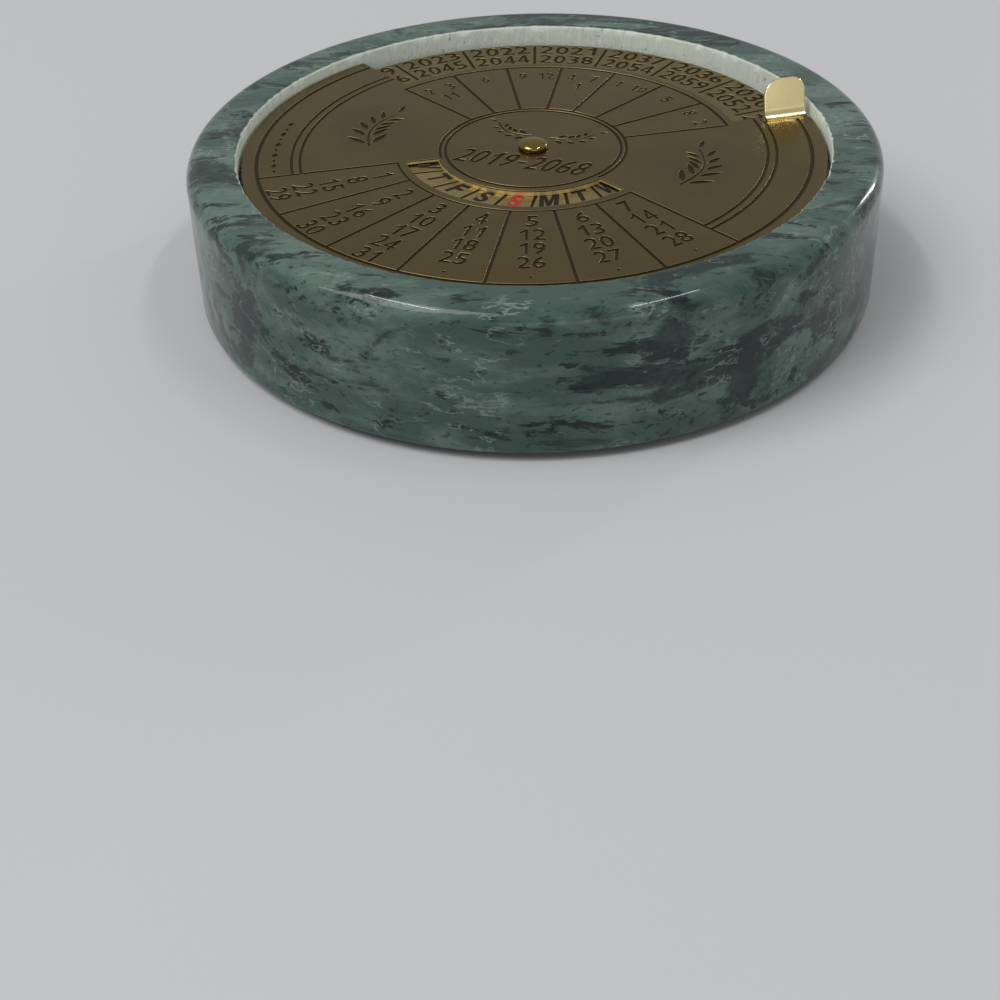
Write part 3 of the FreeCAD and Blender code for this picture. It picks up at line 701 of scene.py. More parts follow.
def turns_round(outline, points):
    """How often an outline runs counter-clockwise round each point."""
    turns = np.zeros(len(points))
    low, high = outline.min(axis=0), outline.max(axis=0)
    near = np.flatnonzero(np.all((points >= low) & (points <= high), axis=1))
    x, y = points[near, 0][:, None], points[near, 1][:, None]
    start, end = outline, np.roll(outline, -1, axis=0)
    side = (end[:, 0] - start[:, 0]) * (y - start[:, 1]) - (x - start[:, 0]) * (end[:, 1] - start[:, 1])
    rising = (start[:, 1] <= y) & (end[:, 1] > y) & (side > 0)
    falling = (start[:, 1] > y) & (end[:, 1] <= y) & (side < 0)
    turns[near] = rising.sum(axis=1) - falling.sum(axis=1)
    return turns


def filled(rings):
    """Triangles that fill outlines less their holes, as rows of three point numbers."""
    flat = np.concatenate(rings)
    edges, start = [], 0
    for ring in rings:
        here = np.arange(len(ring))
        edges += np.stack([start + here, start + (here + 1) % len(ring)], axis=-1).tolist()
        start += len(ring)
    least_gap = 1e-7
    found = delaunay_2d_cdt([Vector(point) for point in flat / MM], edges, [], 1, least_gap)
    crossings = [tuple(round(c, 2) for c in point) for point, sources in zip(found[0], found[3])
                 if len(sources) != 1]
    if crossings:
        raise ValueError(f"outlines cross or touch, in millimetres, at {crossings}")
    numbers = np.array([sources[0] for sources in found[3]])
    triangles = numbers[np.array(found[2])]
    centres = flat[triangles].mean(axis=1)
    turns = sum(turns_round(ring, centres) for ring in rings)
    triangles = triangles[turns > 0.5]
    corner = flat[triangles]
    first, second = corner[:, 1] - corner[:, 0], corner[:, 2] - corner[:, 0]
    downward = first[:, 0] * second[:, 1] - first[:, 1] * second[:, 0] < 0
    triangles[downward] = triangles[downward][:, ::-1]
    return triangles


def sheet_part(outline, holes, low, high, edge):
    """Solid between two heights: the outline less its holes, with a narrow slope round its top."""
    outlines = [wound(outline, True)] + [wound(hole, False) for hole in holes]
    upper = [inset(points, edge) for points in outlines]
    levels = [(outlines, low), (outlines, high - edge), (upper, high)]
    flat = np.concatenate(outlines)
    total = len(flat)
    vertices = []
    for rings, height in levels:
        ring = np.concatenate(rings)
        vertices.append(np.column_stack([ring, np.full(total, height)]))
    triangles = filled(outlines)
    faces = (triangles + 2 * total).tolist() + triangles[:, ::-1].tolist()
    start = 0
    for ring in outlines:
        here = start + np.arange(len(ring))
        following = start + (np.arange(len(ring)) + 1) % len(ring)
        for level in range(len(levels) - 1):
            low_row, high_row = level * total, (level + 1) * total
            quads = np.stack([here + low_row, following + low_row,
                              following + high_row, here + high_row], axis=-1)
            faces += quads.tolist()
        start += len(ring)
    return np.concatenate(vertices), faces


def gathered(parts):
    """Several sets of vertices and faces as one."""
    vertices, faces, offset = [], [], 0
    for points, polygons in parts:
        vertices.append(points)
        faces += [[index + offset for index in polygon] for polygon in polygons]
        offset += len(points)
    return np.concatenate(vertices), faces


@functools.lru_cache(maxsize=None)
def character_outlines(character, steps):
    """Outlines of one character, one unit tall and centred; cubic spans are cut into equal steps."""
    if character in PLAIN_CHARACTERS:
        return [np.array(outline) for outline in PLAIN_CHARACTERS[character]]
    data = bpy.data.curves.new("character", "FONT")
    data.body = character
    writer = bpy.data.objects.new("character", data)
    bpy.context.scene.collection.objects.link(writer)
    bpy.context.view_layer.update()
    outlines = []
    t = np.linspace(0, 1, steps, endpoint=False)[None, :, None]
    for spline in writer.to_curve(bpy.context.evaluated_depsgraph_get(), apply_modifiers=False).splines:
        knots, before, after = np.empty((3, len(spline.bezier_points) * 3))
        spline.bezier_points.foreach_get("co", knots)
        spline.bezier_points.foreach_get("handle_left", before)
        spline.bezier_points.foreach_get("handle_right", after)
        a, b, c = (column.reshape(-1, 1, 3)[..., :2] for column in (knots, after, before))
        c, d = np.roll(c, -1, axis=0), np.roll(a, -1, axis=0)
        points = (1 - t) ** 3 * a + 3 * (1 - t) ** 2 * t * b + 3 * (1 - t) * t ** 2 * c + t ** 3 * d
        outlines.append(without_repeats(points.reshape(-1, 2)))
    writer.to_curve_clear()
    bpy.data.objects.remove(writer)
    bpy.data.curves.remove(data)
    everything = np.concatenate(outlines)
    low, high = everything.min(axis=0), everything.max(axis=0)
    tall = high[1] - low[1]
    narrowing = min(1.0, WIDTHS.get(character, FIGURE_WIDTH) * tall / (high[0] - low[0]))
    return [(points - (low + high) / 2) / tall * (narrowing, 1.0) for points in outlines]


def without_repeats(points):
    """Points less those that lie on the one before them or in line with their neighbours."""
    least_step, least_bend = 1e-4, 0.01
    apart = np.linalg.norm(points - np.roll(points, 1, axis=0), axis=1) > least_step
    points = points[apart]
    forward = np.roll(points, -1, axis=0) - points
    backward = points - np.roll(points, 1, axis=0)
    cross = forward[:, 0] * backward[:, 1] - forward[:, 1] * backward[:, 0]
    product = np.linalg.norm(forward, axis=1) * np.linalg.norm(backward, axis=1)
    return points[np.abs(cross) > least_bend * product]


def write(text, height, centre, angle=0.0, slant=0.0, weight=0.0, width=None, steps=3):
    """Outlines of a text on the dial, split into holes in the metal and the metal inside them.

    Characters stand at even steps. The text is centred on a point, turned by an angle in degrees,
    leant by a slant and thickened by a weight."""
    ends = np.cumsum([0.0] + [STEPS.get(character, FIGURE_STEP) for character in text]) * height
    middles = (ends[:-1] + ends[1:]) / 2 - ends[-1] / 2
    stretch = width / (ends[-1] - (FIGURE_STEP - FIGURE_WIDTH) * height) if width else 1.0
    holes, islands = [], []
    for middle, character in zip(middles, text):
        outlines = character_outlines(character, steps)
        outside = area(max(outlines, key=lambda points: abs(area(points)))) > 0
        for points in outlines:
            is_hole = (area(points) > 0) == outside
            points = (points * height + (middle, 0.0)) * (stretch, 1.0)
            points[:, 0] += slant * points[:, 1]
            points = inset(wound(points, is_hole), -weight)
            points = turned(points, angle) + np.asarray(centre)
            (holes if is_hole else islands).append(points)
    return holes, islands


def joined(marks):
    """Several (holes, islands) pairs as one."""
    holes, islands = [], []
    for more_holes, more_islands in marks:
        holes += more_holes
        islands += more_islands
    return holes, islands


def polar(radius, angle):
    """Point at a radius and an angle in degrees."""
    return np.array([radius * math.cos(math.radians(angle)), radius * math.sin(math.radians(angle))])


def leaf(base, direction, size, width):
    """Pointed oval leaf from its base along a direction in degrees."""
    t = np.linspace(0, 1, 9)
    bulge = width / 2 * np.sin(math.pi * t) ** 0.85 * (1.15 - 0.4 * t)
    upper = np.stack([size * t, bulge], axis=-1)
    lower = np.stack([size * t, -bulge], axis=-1)[-2:0:-1]
    return turned(np.concatenate([upper, lower]), direction) + np.asarray(base)


def stem(points, width):
    """Thin strip along a line of points, tapered to its end."""
    points = np.asarray(points, float)
    along = np.gradient(points, axis=0)
    along /= np.linalg.norm(along, axis=1, keepdims=True)
    side = np.stack([-along[:, 1], along[:, 0]], axis=-1)
    half = (width / 2 * np.linspace(1.0, 0.45, len(points)))[:, None]
    return np.concatenate([points + side * half, (points - side * half)[::-1]])


def sprig(centre, angle, height, pairs, leaf_size, leaf_width, curl=1.0):
    """Leafy sprig: a bowed stem with pairs of leaves and a leaf at its tip."""
    stem_width, gap = 0.30 * MM, 0.36 * MM
    bow, spread, first_pair = 0.16, 42, 0.7
    t = np.linspace(0, 1, 25)
    line = np.stack([curl * bow * height * np.sin(math.pi * t), (t - 0.5) * height], axis=-1)
    marks = [stem(line, stem_width)]
    for index in range(pairs):
        share_of_stem = (index + first_pair) / (pairs + first_pair)
        at = int(share_of_stem * (len(t) - 1))
        ahead = line[min(at + 1, len(t) - 1)] - line[at]
        lean = math.degrees(math.atan2(ahead[1], ahead[0]))
        size = leaf_size * (1.0 - 0.45 * share_of_stem)
        width = leaf_width * (1 - 0.3 * share_of_stem)
        for side in (-1, 1):
            out = polar(gap, lean + 90 * side)
            marks.append(leaf(line[at] + out, lean + spread * side, size, width))
    marks.append(leaf(line[-1] + polar(gap, 90), 90, leaf_size * 0.6, leaf_width * 0.7))
    return [turned(mark, angle) + np.asarray(centre) for mark in marks]


class Layout:
    """Radii and angles of the etched discs, in metres and degrees."""

    def __init__(self, dial):
        self.dial = dial
        self.half = dial.line_width / 2
        self.disc = (DISC_HIGH.x - DISC_LOW.x) / 2
        self.plate = self.disc + dial.plate_margin
        self.recess = self.plate + dial.wall_gap
        self.hub_inner = dial.hub_line - self.half
        self.hub_band = dial.hub_line + self.half
        self.hub_outer = dial.hub_line + dial.hub_pitch
        self.panel_inner = self.hub_outer + self.half
        self.window_inner = self.hub_outer + dial.window_gap
        self.window_outer = self.window_inner + dial.window_depth
        self.frame = self.window_outer + dial.frame_width
        self.columns = self.frame + dial.frame_line
        self.opening = self.plate - dial.opening_depth
        self.month = self.opening - dial.month_gap
        self.rim = self.plate - dial.rim_width
        self.rim_half = dial.rim_line_width / 2
        self.side_outer = self.rim - dial.side_band
        self.side_inner = self.side_outer - dial.side_pitch
        self.opening_start = MONTHS_START + math.degrees(dial.opening_land)
        self.opening_end = MONTHS_END - math.degrees(dial.opening_land)
        self.tab_inner = self.plate - dial.tab_edge_gap - dial.tab_width
        self.tab_outer = self.plate - dial.tab_edge_gap
        self.notch = self.tab_inner - dial.tab_relief


def plate_outline(layout):
    """Outer edge of the turning disc, with the opening for the years and the notch for the tab."""
    setback = layout.dial.tab_setback
    start = layout.opening_start + 360
    return np.concatenate([
        arc(layout.plate, layout.opening_end, past(layout.plate, start, -setback)),
        arc(layout.notch, past(layout.notch, start, -setback), start),
        arc(layout.opening, start, layout.opening_end + 360),
    ])


def panel_outlines(layout):
    """The side panels with the bands that join them: their outer edge and the hole in the middle."""
    half = layout.half
    edge = layout.side_inner - half
    outer = np.concatenate([
        arc(layout.opening, layout.opening_start, layout.opening_end),
        arc(edge, layout.opening_end, past(edge, DATES_START, -half)),
        arc(layout.frame, past(layout.frame, DATES_START, -half), past(layout.frame, DATES_END, half)),
        arc(edge, past(edge, DATES_END, half), layout.opening_start + 360),
    ])
    month_edge = layout.month + half
    inner = layout.panel_inner
    hole = np.concatenate([
        arc(month_edge, past(month_edge, MONTHS_START, -half), past(month_edge, MONTHS_END, half)),
        arc(inner, past(inner, MONTHS_END, half), DATES_START),
        arc(layout.window_outer, DATES_START, DATES_END),
        arc(inner, DATES_END, past(inner, MONTHS_START + 360, -half)),
    ])
    return outer, hole


def hub_band_outlines(layout):
    """The narrow ring between the hub's two lines, which widens to the edge of the window."""
    outer = np.concatenate([
        arc(layout.hub_outer - layout.half, DATES_END, DATES_START + 360),
        arc(layout.window_inner, DATES_START + 360, DATES_END + 360),
    ])
    return outer, circle(layout.hub_band)


def date_numbers(layout, column):
    """Numbers of one date column, first date nearest the rivet; a dot ends the shorter columns."""
    dial = layout.dial
    angle = DATES_START + (column + 0.5) * CELL
    marks = []
    for row in range(DATE_ROWS):
        date = column + 1 + row * WEEK
        centre = polar(dial.first_date + row * dial.date_pitch, angle)
        if date <= LAST_DATE:
            marks.append(write(str(date), dial.date_height, centre, angle + 90, weight=DATE_WEIGHT))
        else:
            marks.append(([circle(DOT_RADIUS, centre, 12)], []))
    return joined(marks)


def month_numbers(layout, sector_index):
    """Numbers of the months in one sector, counted from the left end."""
    dial = layout.dial
    angle = MONTHS_END - (sector_index + 0.5) * CELL
    names = MONTH_GROUPS[sector_index]
    marks = []
    for row, members in enumerate((names[:2], names[2:])):
        radius = layout.month - dial.month_height * (MONTH_ROW_INSET + MONTH_ROW_PITCH * row)
        for place, name in enumerate(members):
            sideways = (place - (len(members) - 1) / 2) * MONTH_SPREAD
            centre = polar(radius, past(radius, angle, -sideways))
            marks.append(write(name, dial.month_height, centre, angle - 90, weight=MONTH_WEIGHT))
    return joined(marks)


def hub_marks(layout):
    """The span of years in front of the rivet and two sprigs behind it."""
    dial = layout.dial
    span = f"{FIRST_YEAR}-{LAST_YEAR}"
    holes, islands = write(span, dial.range_height, (0.0, -dial.range_place), slant=0.28,
                           weight=SPAN_WEIGHT, width=dial.range_width, steps=4)
    for side in (-1, 1):
        holes += sprig(
            centre=(side * 3.6 * MM, 4.3 * MM), angle=-62 * side, height=5.6 * MM, pairs=4,
            leaf_size=1.5 * MM, leaf_width=0.62 * MM, curl=side * 1.2)
    return holes, islands


def panel_marks():
    """A sprig in each side panel."""
    marks = []
    for side in (-1, 1):
        marks += sprig(
            centre=(side * 18.6 * MM, 0.0), angle=0, height=9.4 * MM, pairs=5, leaf_size=3.2 * MM,
            leaf_width=0.8 * MM, curl=side)
    return marks


def lozenges(layout):
    """Small lozenges along the middle of the left band, long and short in turn."""
    radius = (layout.side_outer + layout.rim) / 2
    sizes, narrowness = (0.62 * MM, 0.34 * MM), 0.62
    first, end, step = 183.0, 207.5, 2.7
    marks = []
    for index, angle in enumerate(np.arange(first, end, step)):
        size = sizes[index % 2]
        points = np.array([(size, 0), (0, size * narrowness), (-size, 0), (0, -size * narrowness)])
        marks.append(turned(points, angle + 90) + polar(radius, angle))
    return marks


def plate_lands(layout):
    """Every raised part of the turning disc's face, as (outline, holes)."""
    dial = layout.dial
    half = layout.half
    rim_half = layout.rim_half
    lands, islands = [], []

    def add_land(outline, holes=(), inner=()):
        lands.append((outline, list(holes)))
        islands.extend(inner)

    marks, inside = hub_marks(layout)
    add_land(circle(layout.hub_inner), [circle(dial.bore)] + marks, inside)
    band, band_hole = hub_band_outlines(layout)
    add_land(band, [band_hole])
    panels, middle = panel_outlines(layout)
    add_land(panels, [middle] + panel_marks())
    for index in range(WEEK):
        start = MONTHS_END - (index + 1) * CELL
        marks, inside = month_numbers(layout, index)
        add_land(sector(layout.panel_inner, layout.month - half, start, start + CELL, half, half),
                 marks, inside)
        start = DATES_START + index * CELL
        marks, inside = date_numbers(layout, index)
        add_land(sector(layout.columns, layout.rim - rim_half, start, start + CELL, half, half),
                 marks, inside)
    narrow = (layout.side_inner + half, layout.side_outer - half)
    wide = (layout.side_outer + half, layout.rim - rim_half)
    right_end = layout.opening_start + 360
    setback = dial.tab_setback
    add_land(sector(*narrow, layout.opening_end, DATES_START, 0.0, half))
    add_land(sector(*narrow, DATES_END, right_end, half, 0.0))
    add_land(sector(*wide, layout.opening_end, DATES_START, 0.0, half), lozenges(layout))
    add_land(sector(*wide, DATES_END, right_end, half, setback))
    add_land(sector(layout.rim + rim_half, layout.plate, layout.opening_end, right_end, 0.0, setback))
    return lands + [(island, []) for island in islands]


def tab_surface(layout):
    """Thumb tab: a flat loop with rounded edges, carried along a bend and a straight rise.

    The bend has the radius r = tab_bend + thickness / 2 and turns through 90 degrees less the lean,
    so a point on it lies at (r sin a, r (1 - cos a)). Near its tip the tab is narrower by what a
    corner arc takes off, R - sqrt(R^2 - (R - d)^2) at a distance d below the tip."""
    dial = layout.dial
    thickness = dial.plate_thickness
    middle = dial.tab_bend + thickness / 2
    upright = math.pi / 2 - dial.tab_lean
    bend_angle = np.linspace(0, upright, 13)
    bend_height = middle * (1 - math.cos(upright))
    tip_room = thickness * 0.6
    levels, crowding = 26, 1.8
    rise = TAB_HIGH.z - PLATE_LOW.z - bend_height - tip_room
    rise_at = rise * (1 - np.linspace(1, 0, levels)[1:] ** crowding)
    along = np.concatenate([middle * np.sin(bend_angle),
                            middle * math.sin(upright) + rise_at * math.tan(dial.tab_lean)])
    height = np.concatenate([middle * (1 - np.cos(bend_angle)), bend_height + rise_at])
    facing = np.concatenate([bend_angle, np.full(len(rise_at), upright)])
    left = np.maximum(height[-1] - height, 0.0)

    def taken(radius):
        short = np.clip(radius - left, 0.0, radius)
        return radius - np.sqrt(np.maximum(radius ** 2 - short ** 2, 0.0))

    inner = layout.tab_inner + taken(dial.inner_corner)
    outer = layout.tab_outer - taken(dial.outer_corner)
    edge = 0.12 * MM
    least_reach = 0.02 * MM
    loop = []
    for across, through, start in ((1, -1, -90), (1, 1, 0), (-1, 1, 90), (-1, -1, 180)):
        for angle in np.radians(np.linspace(start, start + 90, 4)):
            loop.append((across, through, edge * math.cos(angle), edge * math.sin(angle)))
    across, through, over, up = (np.array(column)[None, :] for column in zip(*loop))
    centre, reach = ((inner + outer) / 2)[:, None], ((outer - inner) / 2)[:, None]
    radial = centre + across * np.maximum(reach - edge, least_reach) + over
    offset = through * (thickness / 2 - edge) + up
    tangent = (along[:, None] - offset * np.sin(facing)[:, None]) - dial.tab_setback
    level = height[:, None] + offset * np.cos(facing)[:, None]
    points = np.stack([radial, tangent, level + PLATE_LOW.z + thickness / 2], axis=-1)
    rows, count = points.shape[:2]
    faces = [face[::-1] for face in grid_faces(rows, count)]
    faces.append(list(range(count)))
    faces.append(list(range(rows * count - 1, (rows - 1) * count - 1, -1)))
    flat = points.reshape(-1, 3)
    flat[:, :2] = turned(flat[:, :2], layout.opening_start)
    return flat, faces


def year_rows(layout):
    """Rows of years on the fixed disc: radius, height and width, outermost first."""
    dial = layout.dial
    rows = [(layout.disc - inset_by, dial.year_height, width)
            for inset_by, width in zip(YEAR_ROW_INSETS, YEAR_ROW_WIDTHS)]
    return rows + [(layout.opening + SPARE_ROW_OFFSET, dial.spare_height, SPARE_ROW_WIDTH)]


def year_places():
    """(year, cell, row) for each year: years with the same weekday on 1 March share three cells."""
    taken = {}
    places = []
    for year in range(FIRST_YEAR, LAST_YEAR + 1):
        weekday = (datetime.date(year, 3, 1).weekday() + 1) % WEEK
        group = (weekday - 1) % WEEK
        used = taken.get(group, 0)
        taken[group] = used + 1
        row, place = divmod(used, YEARS_PER_ROW)
        places.append((year, group + WEEK * place, row))
    return places


def disc_marks(layout):
    """Holes and inner islands of the fixed disc's face: years, weekdays and the lines between."""
    line_width = layout.dial.line_width
    line_start, line_end = layout.opening + 1.6 * MM, layout.disc - 0.3 * MM
    under = 0.4 * MM
    lines = []
    for cell in range(CELLS):
        angle = 90 + cell * CELL
        lines.append(bar(line_start, line_end, angle, line_width))
        lines.append(bar(layout.window_inner - under, layout.window_outer + under, angle + CELL / 2,
                         line_width, WEEKDAY_SLANT))
    marks = [(lines, [])]
    rows = year_rows(layout)
    for year, cell, row in year_places():
        radius, height, width = rows[row]
        angle = 90 + (cell + 0.5) * CELL
        weight = YEAR_WEIGHT if row < len(YEAR_ROW_INSETS) else 0.0
        marks.append(write(str(year), height, polar(radius, angle), angle - 90, weight=weight,
                           width=width, steps=2))
    return joined(marks)


def weekday_marks(layout, sundays):
    """(holes, islands) of each weekday initial, either the Sundays or all the other days."""
    dial = layout.dial
    radius = (layout.window_inner + layout.window_outer) / 2 - WEEKDAY_OFFSET
    found = []
    for cell in range(CELLS):
        weekday = (cell - SUNDAY_CELL) % WEEK
        if (weekday == 0) == sundays:
            angle = 90 + cell * CELL
            found.append(write(WEEKDAYS[weekday], dial.weekday_height, polar(radius, angle),
                               angle + 90, slant=WEEKDAY_SLANT, weight=WEEKDAY_WEIGHT))
    return found


def turn_layout(vertices, dial):
    """Vertices turned from the layout to where the disc stands."""
    vertices = np.array(vertices, float)
    vertices[:, :2] = turned(vertices[:, :2], -math.degrees(dial.turn))
    return vertices


# Operators

class CalendarPiece(bpy.types.Operator):
    """Base of the operators: reads the settings from the scene."""
    bl_options = {"REGISTER", "UNDO"}

    def execute(self, context):
        self.build(context.scene.calendar_stone, context.scene.calendar_dial)
        return {"FINISHED"}


class CALENDAR_OT_stone(CalendarPiece):
    """Turned and polished marble puck with the sawn recess for the dial"""
    bl_idname = "calendar.stone"
    bl_label = "Marble puck"

    def build(self, stone, dial):
        layout = Layout(dial)
        radius = (STONE_HIGH.x - STONE_LOW.x) / 2
        low, high = STONE_LOW.z, STONE_HIGH.z
        floor = FOAM_LOW.z
        recess = layout.recess
        edge = stone.recess_edge
        foot = stone.bottom_round
        crown = stone.top_round
        profile = [(0.0, low), (radius * 0.5, low)]
        profile += bend((radius - foot, low + foot), foot, -90, 0)
        profile += [(radius, low + (high - low) * share_of_wall) for share_of_wall in (0.3, 0.5, 0.7)]
        profile += bend((radius - crown, high - crown), crown, 0, 90, 17)
        crown_margin, edge_margin = 0.4 * MM, 0.3 * edge
        profile += [(radius - crown - crown_margin, high), (recess + edge + edge_margin, high)]
        edge_start = len(profile) - 1
        profile += bend((recess + edge, high - edge), edge, 90, 180, 5)
        edge_end = len(profile) - 1
        profile += [(recess, high + (floor - high) * share_of_wall)
                    for share_of_wall in np.linspace(0.15, 1.0, 9)]
        profile += [(recess * 0.5, floor), (0.0, floor)]
        count = 720
        angle = circle_angles(count)
        chip_gain = 2.4
        chips = waves(angle, CHIP_WAVES) / len(CHIP_WAVES)
        chips = stone.chip_depth * np.clip(chips * chip_gain, 0.0, 1.0)
        sway = np.zeros((len(profile) - 2, count))
        sway[edge_start - 1:edge_end] = chips
        vertices, faces = revolve(profile, count, sway)
        material = stone_material(stone, recess)
        piece = make_object("marble_puck", vertices, faces, material, "stand", smooth=True)
        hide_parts("marble_body")


class CALENDAR_OT_felt(CalendarPiece):
    """Felt disc under the puck, with a soft cut edge"""
    bl_idname = "calendar.felt"
    bl_label = "Felt"

    def build(self, stone, dial):
        radius = (FELT_HIGH.x - FELT_LOW.x) / 2
        low, high = FELT_LOW.z, FELT_HIGH.z
        soft = (high - low) * 0.45
        profile = [(0.0, low)] + [(radius * part, low) for part in (0.25, 0.5, 0.75)]
        profile += bend((radius - soft, low + soft), soft, -90, 0, 6)
        profile += bend((radius - soft * 0.5, high - soft * 0.5), soft * 0.5, 0, 90, 5)
        profile += [(radius * part, high) for part in (0.75, 0.5, 0.25)] + [(0.0, high)]
        count = 360
        angle = circle_angles(count)
        ragged = waves(angle, FELT_WAVES) / len(FELT_WAVES)
        fray = 0.03 * MM
        sway = np.zeros((len(profile) - 2, count))
        sway[4:14] = -fray * (1 + ragged)
        vertices, faces = revolve(profile, count, sway)
        piece = make_object("felt_disc", vertices, faces, felt_material(stone), "stand", smooth=True)
        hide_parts("felt_pad")


class CALENDAR_OT_foam(CalendarPiece):
    """Foam ring between the recess floor and the fixed disc"""
    bl_idname = "calendar.foam"
    bl_label = "Foam ring"

    def build(self, stone, dial):
        outer = (FOAM_HIGH.x - FOAM_LOW.x) / 2
        washer_room = 0.8 * MM
        inner = (TAIL_WASHER_HIGH.x - TAIL_WASHER_LOW.x) / 2 + washer_room
        low, high = FOAM_LOW.z, FOAM_HIGH.z
        bulge = 0.12 * MM
        middle, reach = (low + high) / 2, (high - low) / 2
        swell = np.radians(np.linspace(-90, 90, 9))
        outside = [(outer - bulge + bulge * math.cos(a), middle + reach * math.sin(a)) for a in swell]
        inside = [(inner + bulge - bulge * math.cos(a), middle - reach * math.sin(a)) for a in swell]
        vertices, faces = revolve_loop(outside + inside, 240)
        piece = make_object("foam_ring", vertices, faces, foam_material(stone), "stand", smooth=True)
        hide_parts("adhesive_pad")


class CALENDAR_OT_year_disc(CalendarPiece):
    """Fixed disc with the etched years and the enamelled weekday initials"""
    bl_idname = "calendar.year_disc"
    bl_label = "Year disc"

    def build(self, stone, dial):
        layout = Layout(dial)
        top = DISC_HIGH.z
        floor = top - dial.etch_depth
        black, red = weekday_marks(layout, False), weekday_marks(layout, True)
        holes, islands = joined([disc_marks(layout)] + black + red)
        parts = [
            sheet_part(circle(layout.disc), [circle(dial.bore)], DISC_LOW.z, floor, FINE_EDGE),
            sheet_part(circle(layout.disc), [circle(dial.bore)] + holes, floor - OVERLAP, top,
                       dial.worn_edge),
        ]
        parts += [sheet_part(island, [], floor - OVERLAP, top, dial.worn_edge) for island in islands]
        vertices, faces = gathered(parts)
        piece = make_object("year_disc_face", turn_layout(vertices, dial), faces,
                            disc_brass_material(dial), "stand")
        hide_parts("year_disc")
        filled_share = 0.55
        fill = floor + dial.etch_depth * filled_share
        inks = (("weekday_enamel", black, dial.black_ink), ("sunday_enamel", red, dial.red_ink))
        for name, letters, ink in inks:
            parts = []
            for letter_holes, letter_islands in letters:
                for hole in letter_holes:
                    parts.append(sheet_part(hole, letter_islands, floor - OVERLAP / 2, fill, FINE_EDGE))
            vertices, faces = gathered(parts)
            enamel = make_object(name, turn_layout(vertices, dial), faces,
                                 enamel_material(name, ink), "stand")


class CALENDAR_OT_date_plate(CalendarPiece):
    """Turning disc with its etched face, its window and opening, and the thumb tab"""
    bl_idname = "calendar.date_plate"
    bl_label = "Date plate"

    def build(self, stone, dial):
        layout = Layout(dial)
        low = PLATE_LOW.z
        top = low + dial.plate_thickness
        floor = top - dial.etch_depth
        window = sector(layout.window_inner, layout.window_outer, DATES_START, DATES_END)
        parts = [sheet_part(plate_outline(layout), [circle(dial.bore), window], low, floor, FINE_EDGE)]
        for outline, holes in plate_lands(layout):
            parts.append(sheet_part(outline, holes, floor - OVERLAP, top, dial.worn_edge))
        # The lip lies below the etched floor, so the plate's material paints it bright brass, a painted
        # highlight along the window's hub side
        lip = sector(layout.window_inner - dial.lip_width, layout.window_inner, DATES_START, DATES_END)
        parts.append(sheet_part(lip, [], DISC_HIGH.z + LIP_CLEARANCE, low + OVERLAP, FINE_EDGE))
        parts.append(tab_surface(layout))
        vertices, faces = gathered(parts)
        piece = make_object("date_plate_face", turn_layout(vertices, dial), faces,
                            etched_brass_material(dial), "dial")
        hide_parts("date_plate")


class CALENDAR_OT_rivet(CalendarPiece):
    """Domed rivet with its shank and clinched tail, and the two washers"""
    bl_idname = "calendar.rivet"
    bl_label = "Rivet and washers"

    def build(self, stone, dial):
        radius = (RIVET_HIGH.x - RIVET_LOW.x) / 2
        low, high = RIVET_LOW.z, RIVET_HIGH.z
        head_play, shank_play = 0.03 * MM, 0.05 * MM
        head_low = PLATE_LOW.z + dial.plate_thickness + head_play
        shank = dial.bore - shank_play
        tail, tail_corner = 1.35 * MM, 0.2 * MM
        tail_high = TAIL_WASHER_LOW.z
        lip = 0.1 * MM
        wall = 0.34 * MM
        crown = np.radians(np.linspace(0, 90, 15))
        dome_low = head_low + wall
        dome = [(radius * math.cos(a), dome_low + (high - dome_low) * math.sin(a)) for a in crown]
        profile = [(0.0, low)]
        profile += bend((tail - tail_corner, low + tail_corner), tail_corner, -90, 0, 6)
        profile += [(tail, tail_high), (shank, tail_high), (shank, head_low)]
        profile += bend((radius - lip, head_low + lip), lip, -90, 0, 5)
        profile += dome[:-1] + [(0.0, high)]
        vertices, faces = revolve(profile, 96)
        # The rivet's brass is painted dark, a painted shade for the dark surroundings its dome reflects
        material = polished_brass_material("polished_brass", dial.rivet_brass, 0.08)
        piece = make_object("rivet_dome", vertices, faces, material, "stand", smooth=True)
        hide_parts("pivot_rivet")
        washer = polished_brass_material("washer_brass", dial.bright_brass, 0.3)
        for node in ("spacer_washer", "tail_washer"):
            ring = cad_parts[node]
            ring.data.materials.clear()
            ring.data.materials.append(washer)


